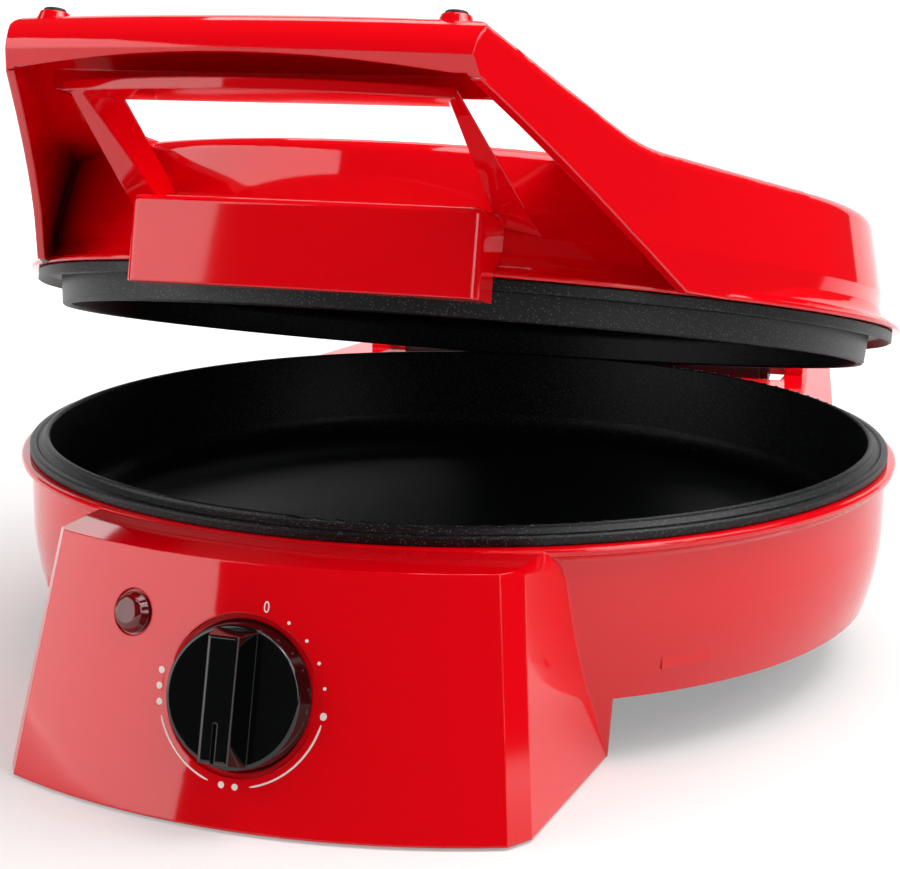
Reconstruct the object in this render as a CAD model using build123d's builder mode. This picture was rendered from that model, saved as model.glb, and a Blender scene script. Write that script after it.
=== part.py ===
from build123d import *
import math
import os

os.makedirs("parts", exist_ok=True)

# Countertop pizza maker: a round base with a deep baking pan, and a hinged lid with a second,
# shallow hot plate, a bar handle and two studs that it rests on when it is opened flat.
# Millimetres, +Z up, front towards -Y. The origin is on the table under the pan's centre.

# Baking pan; the other radii and reaches are measured out from its radius
pan_radius = 150.0  # top of the ridge round the cavity
ridge_height = 77.4  # top of that ridge above the table
pan_depth = 36.0  # ridge to cavity floor
pan_draft = 3.0  # the cavity wall leans in by this much on the way down
pan_wall = 3.0
pan_floor = 3.5
pan_corner = 9.0  # round between cavity wall and floor
ridge_round = 1.1  # half width of the ridge
groove_drop = 2.8  # groove outside the ridge
lip_drop = 2.2  # raised outer lip of the rim, below the ridge
rim_width = 6.0  # ridge to outer edge of the rim
seat_drop = 5.3  # underside of the rim, below the ridge

# Base shell
shell_wall = 2.5
bowl_radius = pan_radius + 5.5
bowl_foot_radius = pan_radius + 1.0  # the bowl narrows to this at its lower edge
bowl_bend_height = 48.0  # below this height it starts to narrow
bowl_foot_height = 21.4
flange_radius = pan_radius + 9.0
flange_top_drop = 5.6  # crest of the flange, below the ridge
flange_root_drop = 11.0  # where its underside meets the wall
rim_side_gap = 0.9  # between the pan's rim and the flange's crest
floor_gap = 1.0  # lower edge of the legs above the table

# Control box on the front
panel_half_foot = 76.6  # half width of the panel at the table
panel_half_top = 67.7  # and at its top edge
panel_side_foot = pan_radius + 40.3  # distance of the panel's lower corners in front of the pan's axis
panel_side_top = pan_radius + 21.0
panel_front_foot = pan_radius + 55.7  # the same for the middle of the panel
panel_front_top = pan_radius + 37.0
corner_half_foot = 81.5  # outer edge of the slanted strip beside the panel
corner_half_top = 72.5
corner_side_foot = pan_radius + 32.9
corner_side_top = pan_radius + 13.2
leg_half_foot = 87.0  # back corners of the front leg
leg_half_top = 76.0
leg_back_foot = pan_radius - 32.5
leg_back_top = pan_radius - 18.6
shoulder_drop = 4.4  # panel's top edge below the ridge
shoulder_fall = 0.0467  # slope of the shoulder down towards the pan
shoulder_round = 10.0  # round of the box's upper corners, seen from the front
skirt_foot_radius = pan_radius - 3.6  # the bowl's surface runs on down beside the leg to this radius

# Hinge housing at the back
housing_half_front = 123.5
housing_half_back = 111.0
housing_front = pan_radius - 29.3
housing_back = pan_radius + 65.0
housing_drop = 8.0  # flat top of the housing, below the ridge
housing_round = 12.0
rear_leg_front = pan_radius - 32.0
trough_half = 95.0
trough_front = pan_radius + 17.0
trough_depth = 11.0
trough_back_depth = 31.0
trough_back_start = pan_radius + 47.0

# Hinge
hinge_reach = pan_radius + 38.9  # hinge axis behind the pan's axis
hinge_height = 70.95
open_at_rest = 12.07  # degrees that the lid stands open
lug_radius = 8.0
lug_depth = 8.0
pin_radius = 2.5
barrel_radius = 9.0
barrel_half = 83.5
bush_radius = 4.2
bush_length = 14.0
bush_flange_radius = 5.5
bush_flange = 3.5
arm_half = 52.0
pin_seat = 6.5  # depth of the pins' seats in the lugs
pin_reach = 70.0
pin_collar = 3.0
collar_length = 7.5
saddle_back = pan_radius + 7.2
saddle_rise = 26.0
saddle_screw_rise = 20.5
saddle_post = 13.0
running_gap = 0.05  # radial play of a turning shaft
fixed_play = 0.02  # radial play of a part that is pressed home
thread_play = 0.05  # between a screw and the hole it is driven into
screw_play = 0.3  # between a screw and a hole it passes through

# Lid shell, drawn shut
drum_radius = pan_radius + 0.3
drum_middle_radius = pan_radius - 1.6
drum_middle_rise = 23.5
drum_top_edge = pan_radius - 5.6  # where wall and top would meet without their round
drum_top_rise = 41.5
drum_round = 5.0
drum_bend_rise = 15.0
lid_flange_radius = pan_radius + 7.3
lid_flange_rise = 2.3  # underside of the lid's flange above the ridge
lid_flange_thickness = 1.8
lid_flange_sweep = 10.0  # height above the ridge where the flange has run into the wall

# Hood: the wings and the bar that rise from the lid towards the front
bar_bow_radius = 500.0  # the bar's front is bowed this little in plan
bar_nose_at = pan_radius + 71.5  # foremost point of the bar in front of the pan's axis
bar_nose_rise = 51.5
bar_low_rise = 46.2  # lower edge of the bar's front at its ends
bar_low_set = 3.2  # that edge lies this far behind the nose
bar_arch_rise = 50.8  # and rises to this in the middle
bar_shoulder_rise = 58.4
bar_shoulder_set = 3.4
bar_top_rise = 62.6
bar_top_set = 13.0
bar_back = pan_radius + 36.5  # rear wall of the bar
wing_half_front = 67.0  # half width at the bar's ends
wing_front = pan_radius + 65.0
wing_flare = 2.4  # the wings widen by this towards the front
wing_tuck = 7.7  # and their lower part leans in by this
wing_sink = 0.2  # depth at which they run into the drum's wall
wing_round = 4.0  # round along their upper edges
hood_slope = 0.3016
hood_plane_rise = 61.6  # height of the sloping top above the ridge at hood_plane_at
hood_blend = 80.0  # radius between the sloping top and the drum's top
hood_plane_at = pan_radius + 60.0
wing_foot_at = pan_radius - 25.0  # the wings' lower edge comes down to the flange here
wing_mid_at = pan_radius + 15.0
wing_mid_rise = 24.2
wing_tip_at = pan_radius + 64.0
bar_wall_half = 68.5
window_half = 66.0
window_round = 6.0

# Studs on the bar
stud_half = 57.6
stud_at = pan_radius + 57.0
stud_top_radius = 4.0
stud_top_rise = 63.4
stud_tip_radius = 3.1
stud_tip_rise = 64.5
stud_plug_radius = 1.6
stud_plug_length = 5.0

# Handle insert under the bar
insert_half = 54.6
insert_front = pan_radius + 14.6
insert_back = pan_radius - 11.0
insert_bow = 1.6
insert_low_drop = 5.4
insert_top_rise = 20.3
insert_wall = 2.5
lip_half = 57.0
lip_front = pan_radius + 51.0
lip_bow = 10.0
lip_low_rise = 42.8
lip_back_rise = 45.8
post_thickness = 3.2
post_foot_half = 62.8
post_foot_front = pan_radius + 2.0
insert_gap = 0.2  # between the insert and the lid shell
insert_screw_seat = pan_radius - 8.5  # seats of the screws, inside the drum's wall
insert_screw_rise = 12.0
insert_screw_length = 14.5
post_low_rise = 15.0
lip_back = pan_radius + 33.0
lip_back_half = 51.7

# Lid plate
lid_skirt_radius = pan_radius - 4.4
lid_skirt_drop = 9.5
lid_skirt_draft = 1.0
lid_land = 3.0
lid_ceiling_rise = 4.0
lid_ring_radius = pan_radius + 4.6
lid_ring_drop = 1.7
lid_ring_under = 1.2
lid_plate_floor = 3.5

# Heating and fastening
boss_circle = pan_radius - 32.0
boss_radius = 5.0
boss_count = 4
boss_start = 45.0
pan_boss_height = 7.0
element_circle = pan_radius - 65.0
element_radius = 3.3
element_sweep = 324.0
terminal_radius = 1.6
terminal_drop = 9.0
shield_radius = pan_radius - 25.0
shield_sheet = 0.8
shield_rim = 5.5
bead_width = 6.0
strap_width = 14.0
strap_sheet = 1.5
strap_reach = pan_radius - 3.0
ledge_radius = pan_radius - 9.5
ledge_lid_radius = pan_radius - 9.5
screw_radius = 1.6
screw_head_radius = 3.4
screw_head = 2.2
screw_slot = 0.9
cover_thickness = 2.5
cover_gap = 0.4
cover_circle = pan_radius - 8.0
cover_post_radius = 4.5
cover_post_length = 10.0
vent_circle = 95.0
vent_count = 12
vent_length = 26.0
vent_width = 3.0
foot_radius = 7.0
foot_height = 3.0
foot_plug_radius = 3.0
foot_plug_length = 4.5

# Controls
knob_height = 40.2  # knob centre below the ridge
knob_radius = 21.6
knob_face_radius = 19.8
knob_disc = 5.5
knob_grip = 14.0
knob_grip_width = 8.8
knob_grip_foot = 13.0
knob_gap = 0.8
knob_bore_depth = 9.0
knob_hub_radius = 5.6
dial_recess_radius = 22.8
dial_recess_depth = 1.3
shaft_radius = 3.0
shaft_flat = 1.2
shaft_hole_play = 0.8
shaft_seat = 8.0
thermostat_radius = 16.0
thermostat_depth = 20.0
bracket_sheet = 1.2
bracket_half = 24.0
bracket_height = 22.0
panel_post_radius = 3.6
panel_post_length = 8.0
lamp_half = 36.8
lamp_height = 22.5
lamp_lens_radius = 6.0
lamp_shank_radius = 4.6
lamp_lens_rise = 3.2
lamp_flange = 1.2
lamp_recess_radius = 6.8
lamp_recess_depth = 1.0
lamp_shank_length = 9.0
lamp_body_length = 18.0
lamp_body_radius = 3.6
clip_ring_radius = 8.0
clip_ring_sheet = 0.6

# Electrics in the base
block_length = 34.0
block_width = 15.0
block_height = 13.0
block_side = 40.0
block_reach = pan_radius + 10.0
fuse_radius = 3.0
fuse_length = 22.0
gland_radius = 8.0
gland_height = 18.0
gland_side = -40.0
clamp_reach = pan_radius + 38.0
gland_flange_radius = 10.5
gland_bore = 3.4


# Places worked out from the sizes above
ridge = ridge_height
rim_seat = ridge - seat_drop
cavity_floor = ridge - pan_depth
pan_under = cavity_floor - pan_floor
rim_edge = pan_radius + rim_width
cavity_top_radius = pan_radius - ridge_round
bowl_inner = bowl_radius - shell_wall
shoulder = ridge - shoulder_drop
housing_top = ridge - housing_drop
cover_top = bowl_foot_height + cover_thickness
hinge_axis = Axis((0, hinge_reach, hinge_height), (1, 0, 0))
boss_low = pan_under - pan_boss_height
strap_top = boss_low - shield_sheet
strap_low = strap_top - strap_sheet
upper_plate_top = ridge + lid_ceiling_rise + lid_plate_floor
lid_boss_top = upper_plate_top + 2 * element_radius + 0.1
lid_strap_low = lid_boss_top + shield_sheet
drum_inner = drum_radius - shell_wall
foot_plate_low = floor_gap + 2.0
foot_plate_top = foot_plate_low + cover_thickness


def ring_spots(radius, angles):
    """Places on a circle round the pan's axis."""
    return [(radius * math.cos(math.radians(a)), radius * math.sin(math.radians(a))) for a in angles]


def pegs(plane, spots, radius, length):
    """Round posts, or the holes for them, standing on a plane at several places."""
    with BuildPart() as group:
        with BuildSketch(plane):
            with Locations(*spots):
                Circle(radius)
        extrude(amount=length)
    return group.part


def screws(plane, spots, length):
    """Cross-slotted pan-head screws; the plane is the seat of the heads and faces outwards."""
    with BuildPart() as group:
        with BuildSketch(plane):
            with Locations(*spots):
                Circle(screw_radius)
        extrude(amount=-length)
        with BuildSketch(plane):
            with Locations(*spots):
                Circle(screw_head_radius)
        extrude(amount=screw_head, taper=12)
        with BuildSketch(plane.offset(screw_head)):
            with Locations(*spots):
                Rectangle(screw_head_radius, screw_slot)
                Rectangle(screw_slot, screw_head_radius)
        extrude(amount=-screw_head / 2, mode=Mode.SUBTRACT)
    return group.part


def ribs(low, thickness, inner, outer, angles):
    """Blocks on the inside of a round wall, reaching in from it, as wide as a strap and a little more."""
    with BuildPart() as group:
        with BuildSketch(Plane.XY.offset(low)):
            for angle in angles:
                place = ring_spots((inner + outer) / 2, [angle])[0]
                with Locations(Location((place[0], place[1], 0), (0, 0, angle))):
                    Rectangle(outer - inner, strap_width + 4.0)
        extrude(amount=thickness)
    return group.part


def from_below(height):
    """Plane that faces down at a height; places on it are given with y turned round."""
    return Plane(origin=(0, 0, height), x_dir=(1, 0, 0), z_dir=(0, 0, -1))


def flipped(spots):
    """Places turned round for a plane that faces down."""
    return [(x, -y) for x, y in spots]


def side_block(points, half):
    """Solid of a side outline, given as distance behind the pan's axis and height, across the middle."""
    with BuildPart() as block:
        with BuildSketch(Plane.YZ):
            with BuildLine():
                Polyline(*points, close=True)
            make_face()
        extrude(amount=half, both=True)
    return block.part


def turned(points):
    """Solid of revolution about the pan's axis, from radius and height above the table."""
    with BuildPart() as body:
        with BuildSketch(Plane.XZ):
            with BuildLine():
                Polyline(*points, close=True)
            make_face()
        revolve(axis=Axis.Z)
    return body.part


def opened(piece, label):
    """Turn a lid piece, drawn shut, to the angle that the lid stands open at, and name it."""
    moved = piece.rotate(hinge_axis, -open_at_rest)
    moved.label = label
    return moved


def panel_outline(height, inset):
    """Plan of the control box at a height, moved in by a wall's thickness."""
    share = height / shoulder
    front = panel_front_foot + (panel_front_top - panel_front_foot) * share - inset
    side = panel_side_foot + (panel_side_top - panel_side_foot) * share - inset
    half = panel_half_foot + (panel_half_top - panel_half_foot) * share - 0.6 * inset
    corner = corner_half_foot + (corner_half_top - corner_half_foot) * share - inset
    corner_y = corner_side_foot + (corner_side_top - corner_side_foot) * share - 0.6 * inset
    back = leg_half_foot + (leg_half_top - leg_half_foot) * share - inset
    back_y = leg_back_foot + (leg_back_top - leg_back_foot) * share + inset
    with BuildSketch(Plane.XY.offset(height)) as outline:
        with BuildLine():
            ThreePointArc((-half, -side), (0, -front), (half, -side))
            Polyline((half, -side), (corner, -corner_y), (back, -back_y))
            Line((back, -back_y), (-back, -back_y))
            Polyline((-back, -back_y), (-corner, -corner_y), (-half, -side))
        make_face()
    return outline.sketch


def control_box(low, inset):
    """Control box with its sloping shoulder, rounded at the upper corners as seen from the front."""
    top = shoulder - inset
    top_half = corner_half_top - inset + 0.5
    foot_half = corner_half_foot - inset + 8.0
    back = leg_back_foot - 40.0
    with BuildPart() as box:
        add(panel_outline(low, inset))
        add(panel_outline(top, inset))
        loft(ruled=True)
        with BuildSketch(Plane.XZ.offset(back)) as front_view:
            with BuildLine():
                Polyline(
                    (-foot_half, low),
                    (-foot_half, ridge * 0.35),
                    (-top_half, top),
                    (top_half, top),
                    (foot_half, ridge * 0.35),
                    (foot_half, low),
                    close=True,
                )
            make_face()
            fillet(front_view.vertices().group_by(Axis.Y)[-1], shoulder_round - inset)
        extrude(amount=panel_front_foot, mode=Mode.INTERSECT)
        with BuildSketch(Plane.YZ) as side_view:
            with BuildLine():
                Polyline(
                    (-panel_front_foot - 5.0, low - 5.0),
                    (-panel_front_foot - 5.0, top + 0.2),
                    (-panel_front_top, top),
                    (-back, top - shoulder_fall * (panel_front_top - back)),
                    (-back, low - 5.0),
                    close=True,
                )
            make_face()
        extrude(amount=leg_half_foot + 5.0, both=True, mode=Mode.INTERSECT)
    return box.part


def leg_skirt(low, inset):
    """The bowl's surface carried down beside the front leg, as far back as the leg's rear wall."""
    fall = (leg_back_top - leg_back_foot) / shoulder
    rim = bowl_foot_height + 1.0
    edge = leg_back_foot + inset
    with BuildPart() as skirt:
        add(turned([(0, low), (skirt_foot_radius - inset, low), (bowl_foot_radius - inset, rim), (0, rim)]))
        add(
            side_block(
                [(-edge + 5.0 * fall, -5.0), (-edge - 40.0 * fall, 40.0), (-170.0, 40.0), (-170.0, -5.0)],
                130.0,
            ),
            mode=Mode.INTERSECT,
        )
    return skirt.part


def housing(low, inset):
    """Block behind the bowl that carries the hinge and reaches down as the rear leg."""
    with BuildPart() as block:
        with BuildSketch(Plane.XY.offset(low)) as plan:
            with BuildLine():
                Polyline(
                    (-housing_half_front + inset, 60.0),
                    (-housing_half_front + inset, housing_front),
                    (-housing_half_back + inset, housing_back - inset),
                    (housing_half_back - inset, housing_back - inset),
                    (housing_half_front - inset, housing_front),
                    (housing_half_front - inset, 60.0),
                    close=True,
                )
            make_face()
            fillet(plan.vertices().group_by(Axis.Y)[-1], housing_round - inset)
        extrude(amount=housing_top - inset - low)
        with BuildSketch(Plane.XY.offset(low - 1.0)):
            with Locations((0, (rear_leg_front + inset) / 2)):
                Rectangle(2 * housing_half_front + 10.0, rear_leg_front + inset)
        extrude(amount=bowl_foot_height - low + 1.0, mode=Mode.SUBTRACT)
    return block.part


def trough(grow, reach):
    """Space behind the pan that the hinge arm swings through, open to the top and the back."""
    floor = housing_top - trough_depth - grow
    floor_back = housing_top - trough_back_depth - grow
    return side_block(
        [
            (trough_front - grow, housing_top + reach),
            (trough_front - grow, floor + 3.0),
            (trough_front - grow + 1.0, floor + 1.0),
            (trough_front - grow + 3.0, floor),
            (trough_back_start - grow, floor),
            (housing_back - 4.0 - grow, floor_back),
            (housing_back + reach, floor_back),
            (housing_back + reach, housing_top + reach),
        ],
        trough_half + grow,
    )


bowl_middle = (bowl_radius + bowl_foot_radius) / 2 + 1.0
bowl_middle_height = (bowl_bend_height + bowl_foot_height) / 2
flange_root = ridge - flange_root_drop
flange_top = ridge - flange_top_drop

# Outside of the bowl with its small flange
with BuildPart() as bowl_outer:
    with BuildSketch(Plane.XZ):
        with BuildLine():
            Line((0, bowl_foot_height), (bowl_foot_radius, bowl_foot_height))
            ThreePointArc(
                (bowl_foot_radius, bowl_foot_height),
                (bowl_middle, bowl_middle_height),
                (bowl_radius, bowl_bend_height),
            )
            Line((bowl_radius, bowl_bend_height), (bowl_radius, flange_root))
            ThreePointArc(
                (bowl_radius, flange_root),
                (bowl_radius + 0.9, flange_root + 1.4),
                (flange_radius - 0.2, flange_top - 2.4),
            )
            Polyline(
                (flange_radius - 0.2, flange_top - 2.4),
                (flange_radius, flange_top - 1.1),
                (flange_radius - 0.4, flange_top - 0.3),
                (rim_edge + rim_side_gap + 0.9, flange_top),
                (0, flange_top),
                (0, bowl_foot_height),
            )
        make_face()
    revolve(axis=Axis.Z)

# The front and rear walls of the bowl's underside opening, where the legs pass below it
leg_wall_fall = (leg_back_top - leg_back_foot) / shoulder
leg_walls = [
    side_block(
        [
            (-leg_back_foot, 0.0),
            (-leg_back_foot - cover_top * leg_wall_fall, cover_top),
            (-leg_back_foot - cover_top * leg_wall_fall - shell_wall, cover_top),
            (-leg_back_foot - shell_wall, 0.0),
        ],
        150.0,
    ),
    side_block(
        [
            (rear_leg_front, 0.0),
            (rear_leg_front, cover_top),
            (rear_leg_front + shell_wall, cover_top),
            (rear_leg_front + shell_wall, 0.0),
        ],
        150.0,
    ),
]

# Space inside the bowl, with the seat for the pan's rim
with BuildPart() as bowl_space:
    with BuildSketch(Plane.XZ):
        with BuildLine():
            Line((0, bowl_foot_height - 3.0), (bowl_foot_radius - shell_wall, bowl_foot_height - 3.0))
            Line(
                (bowl_foot_radius - shell_wall, bowl_foot_height - 3.0),
                (bowl_foot_radius - shell_wall, bowl_foot_height),
            )
            ThreePointArc(
                (bowl_foot_radius - shell_wall, bowl_foot_height),
                (bowl_middle - shell_wall, bowl_middle_height),
                (bowl_inner, bowl_bend_height),
            )
            Polyline(
                (bowl_inner, bowl_bend_height),
                (bowl_inner, rim_seat),
                (rim_edge + rim_side_gap, rim_seat),
                (rim_edge + rim_side_gap, ridge + 5.0),
                (0, ridge + 5.0),
                (0, bowl_foot_height - 3.0),
            )
        make_face()
    revolve(axis=Axis.Z)
    add(leg_walls[0], mode=Mode.SUBTRACT)
    add(leg_walls[1], mode=Mode.SUBTRACT)

with BuildPart() as compartments:
    add(control_box(floor_gap - 2.0, shell_wall))
    add(housing(floor_gap - 2.0, shell_wall))
    add(bowl_outer.part, mode=Mode.SUBTRACT)

with BuildPart() as trough_walls:
    add(trough(shell_wall, 0.0))
    add(housing(floor_gap, 0.0), mode=Mode.INTERSECT)

# Panel planes: one square to the panel at the knob, one at the lamp
lean = math.atan((panel_front_foot - panel_front_top) / shoulder)
knob_z = ridge - knob_height
knob_y = panel_front_foot + (panel_front_top - panel_front_foot) * knob_z / shoulder
knob_plane = Plane(
    origin=(0, -knob_y, knob_z), x_dir=(1, 0, 0), z_dir=(0, -math.cos(lean), math.sin(lean))
)
lamp_z = ridge - lamp_height
lamp_share = lamp_z / shoulder
lamp_panel_half = panel_half_foot + (panel_half_top - panel_half_foot) * lamp_share
lamp_panel_front = panel_front_foot + (panel_front_top - panel_front_foot) * lamp_share
lamp_panel_bow = lamp_panel_front - panel_side_foot - (panel_side_top - panel_side_foot) * lamp_share
lamp_curve = (lamp_panel_half**2 + lamp_panel_bow**2) / (2 * lamp_panel_bow)
lamp_turn = math.asin(lamp_half / lamp_curve)
lamp_y = lamp_panel_front - lamp_curve * (1 - math.cos(lamp_turn))
lamp_plane = Plane(
    origin=(-lamp_half, -lamp_y, lamp_z),
    x_dir=(math.cos(lamp_turn), -math.sin(lamp_turn), 0),
    z_dir=(
        -math.sin(lamp_turn) * math.cos(lean),
        -math.cos(lamp_turn) * math.cos(lean),
        math.sin(lean),
    ),
)

centre = [(0, 0)]
boss_angles = [boss_start + 360.0 / boss_count * i for i in range(boss_count)]
boss_spots = ring_spots(boss_circle, boss_angles)
cover_angles = (22.0, 158.0, 202.0, 338.0)
cover_spots = ring_spots(cover_circle, cover_angles)
front_foot_spots = [(-66.0, -170.0), (66.0, -170.0)]
rear_foot_spots = [(-94.0, 196.0), (94.0, 196.0)]
front_plate_spots = [(-40.0, -126.0), (40.0, -126.0)]
rear_plate_spots = [(-70.0, 208.4), (70.0, 208.4)]
pad_front = -dial_recess_depth - 0.3
pad_back = pad_front - 3.0
bracket_front = pad_back - panel_post_length
bracket_back = bracket_front - bracket_sheet
bracket_spots = [(-bracket_half + 4.0, 0), (bracket_half - 4.0, 0)]
lug_plane = Plane(origin=(0, hinge_reach, hinge_height), x_dir=(0, 1, 0), z_dir=(1, 0, 0))
gland_plane = Plane(
    origin=(gland_side, housing_back, gland_height), x_dir=(-1, 0, 0), z_dir=(0, 1, 0)
)

# One moulding: bowl, control box, front leg, hinge housing and rear leg
with BuildPart() as base_shell:
    add(bowl_outer.part)
    add(control_box(floor_gap, 0.0))
    add(leg_skirt(floor_gap, 0.0))
    add(housing(floor_gap, 0.0))
    add(compartments.part, mode=Mode.SUBTRACT)
    add(leg_skirt(floor_gap - 2.0, shell_wall), mode=Mode.SUBTRACT)
    add(bowl_space.part, mode=Mode.SUBTRACT)
    add(trough_walls.part)
    add(trough(0.0, 30.0), mode=Mode.SUBTRACT)
    add(ribs(strap_top, 4.0, ledge_radius, bowl_inner + 1.0, boss_angles))
    add(ribs(cover_top, cover_post_length, cover_circle - 6.0, bowl_foot_radius - 1.5, cover_angles))
    add(pegs(Plane.XY.offset(cover_top), cover_spots, screw_radius + thread_play, 8.0), mode=Mode.SUBTRACT)
    add(pegs(Plane.XY.offset(foot_plate_top), front_plate_spots, cover_post_radius, 16.0))
    add(pegs(Plane.XY.offset(foot_plate_top), rear_plate_spots, cover_post_radius, 16.0))
    add(
        pegs(Plane.XY.offset(foot_plate_top), front_plate_spots, screw_radius + thread_play, 8.0),
        mode=Mode.SUBTRACT,
    )
    add(
        pegs(Plane.XY.offset(foot_plate_top), rear_plate_spots, screw_radius + thread_play, 8.0),
        mode=Mode.SUBTRACT,
    )
    add(pegs(lug_plane.offset(trough_half), centre, lug_radius, lug_depth))
    add(pegs(lug_plane.offset(-trough_half), centre, lug_radius, -lug_depth))
    add(
        pegs(lug_plane.offset(trough_half - 1.0), centre, pin_radius + fixed_play, pin_seat + 1.3),
        mode=Mode.SUBTRACT,
    )
    add(
        pegs(lug_plane.offset(-trough_half + 1.0), centre, pin_radius + fixed_play, -pin_seat - 1.3),
        mode=Mode.SUBTRACT,
    )
    add(pegs(knob_plane.offset(pad_back), centre, dial_recess_radius + 1.5, pad_front - pad_back))
    add(pegs(knob_plane.offset(bracket_front), bracket_spots, panel_post_radius, panel_post_length))
    add(
        pegs(knob_plane.offset(bracket_front), bracket_spots, screw_radius + thread_play, 6.5),
        mode=Mode.SUBTRACT,
    )
    add(pegs(knob_plane.offset(-dial_recess_depth), centre, dial_recess_radius, 8.0), mode=Mode.SUBTRACT)
    add(pegs(knob_plane.offset(pad_back - 1.0), centre, shaft_radius + shaft_hole_play, 8.0), mode=Mode.SUBTRACT)
    add(pegs(lamp_plane.offset(-lamp_recess_depth), centre, lamp_recess_radius, 5.0), mode=Mode.SUBTRACT)
    add(pegs(lamp_plane.offset(-6.0), centre, lamp_shank_radius + fixed_play, 8.0), mode=Mode.SUBTRACT)
    add(pegs(gland_plane.offset(-6.0), centre, gland_radius + fixed_play, 9.0), mode=Mode.SUBTRACT)

# Deep baking pan with its grooved rim
with BuildPart() as lower_pan:
    with BuildSketch(Plane.XZ) as pan_section:
        with BuildLine():
            Polyline(
                (0, cavity_floor),
                (cavity_top_radius - pan_draft, cavity_floor),
                (cavity_top_radius, ridge - 1.2),
            )
            ThreePointArc(
                (cavity_top_radius, ridge - 1.2), (pan_radius, ridge), (pan_radius + ridge_round, ridge - 1.2)
            )
            Polyline(
                (pan_radius + ridge_round, ridge - 1.2),
                (pan_radius + 3.0, ridge - groove_drop),
                (pan_radius + 3.8, ridge - lip_drop),
                (rim_edge - 0.6, ridge - lip_drop - 0.2),
                (rim_edge, ridge - lip_drop - 0.8),
                (rim_edge, rim_seat),
                (pan_radius + 1.8, rim_seat),
                (pan_radius + 1.8 - pan_draft, pan_under),
                (0, pan_under),
                (0, cavity_floor),
            )
        make_face()
        fillet(pan_section.vertices().sort_by_distance((cavity_top_radius - pan_draft, cavity_floor))[0], pan_corner)
        fillet(
            pan_section.vertices().sort_by_distance((pan_radius + 1.8 - pan_draft, pan_under))[0],
            pan_corner + pan_wall,
        )
    revolve(axis=Axis.Z)
    add(pegs(Plane.XY.offset(boss_low), boss_spots, boss_radius, pan_boss_height + 1.0))
    add(
        pegs(Plane.XY.offset(boss_low), boss_spots, screw_radius + thread_play, pan_boss_height),
        mode=Mode.SUBTRACT,
    )


def heating_element(middle_height, stub_end):
    """Tubular ring with a gap, and a terminal at each end that passes through the heat shield."""
    with BuildPart() as element:
        with BuildSketch(Plane.XZ):
            with Locations((element_circle, middle_height)):
                Circle(element_radius)
        revolve(axis=Axis.Z, revolution_arc=element_sweep)
        add(
            pegs(
                Plane.XY.offset(middle_height),
                ring_spots(element_circle, (1.6, element_sweep - 1.6)),
                terminal_radius,
                stub_end - middle_height,
            )
        )
    return element.part


def heat_shield(floor, rim):
    """Sheet dish with clearance holes for the bosses and the element's terminals."""
    with BuildPart() as shield:
        with BuildSketch(Plane.XY.offset(floor)):
            Circle(shield_radius)
            with Locations(*boss_spots):
                Circle(screw_radius + 0.4, mode=Mode.SUBTRACT)
            with Locations(*ring_spots(element_circle, (1.6, element_sweep - 1.6))):
                Circle(terminal_radius + 1.5, mode=Mode.SUBTRACT)
        extrude(amount=shield_sheet)
        with BuildSketch(Plane.XY.offset(floor)):
            Circle(shield_radius)
            Circle(shield_radius - shield_sheet, mode=Mode.SUBTRACT)
        extrude(amount=rim)
    return shield.part


def straps(low):
    """Four spring straps from the bosses out to the shell's ledges."""
    with BuildPart() as group:
        with BuildSketch(Plane.XY.offset(low)):
            with PolarLocations((boss_circle - strap_width / 2 + strap_reach) / 2, boss_count, boss_start):
                SlotOverall(strap_reach - boss_circle + strap_width / 2, strap_width)
            with Locations(*boss_spots):
                Circle(screw_radius + 0.3, mode=Mode.SUBTRACT)
        extrude(amount=strap_sheet)
    return group.part



# Round cover that closes the bowl between the legs
with BuildPart() as bottom_cover:
    with BuildSketch(Plane.XY.offset(bowl_foot_height)):
        Circle(bowl_foot_radius - shell_wall - cover_gap)
    extrude(amount=cover_thickness)
    add(
        side_block(
            [
                (-leg_back_foot - bowl_foot_height * leg_wall_fall + cover_gap, 0.0),
                (-leg_back_foot - bowl_foot_height * leg_wall_fall + cover_gap, 40.0),
                (rear_leg_front - cover_gap, 40.0),
                (rear_leg_front - cover_gap, 0.0),
            ],
            160.0,
        ),
        mode=Mode.INTERSECT,
    )
    add(
        pegs(Plane.XY.offset(bowl_foot_height), cover_spots, screw_radius + 0.4, cover_thickness),
        mode=Mode.SUBTRACT,
    )
    with BuildSketch(Plane.XY.offset(bowl_foot_height)):
        with PolarLocations(vent_circle, vent_count):
            SlotOverall(vent_length, vent_width)
    extrude(amount=cover_thickness, mode=Mode.SUBTRACT)

# Plates that close the legs, each with two holes for the feet
with BuildPart() as front_foot_cover:
    add(control_box(foot_plate_low, shell_wall + cover_gap))
    with BuildSketch(Plane.XY.offset(foot_plate_low)):
        Rectangle(600.0, 600.0)
    extrude(amount=cover_thickness, mode=Mode.INTERSECT)
    add(pegs(Plane.XY.offset(foot_plate_low), front_foot_spots, foot_plug_radius, 5.0), mode=Mode.SUBTRACT)
    add(pegs(Plane.XY.offset(foot_plate_low), front_plate_spots, screw_radius + 0.4, 5.0), mode=Mode.SUBTRACT)

with BuildPart() as rear_foot_cover:
    add(housing(foot_plate_low, shell_wall + cover_gap))
    with BuildSketch(Plane.XY.offset(foot_plate_low)):
        Rectangle(600.0, 600.0)
    extrude(amount=cover_thickness, mode=Mode.INTERSECT)
    add(pegs(Plane.XY.offset(foot_plate_low), rear_foot_spots, foot_plug_radius, 5.0), mode=Mode.SUBTRACT)
    add(pegs(Plane.XY.offset(foot_plate_low), rear_plate_spots, screw_radius + 0.4, 5.0), mode=Mode.SUBTRACT)

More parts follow.
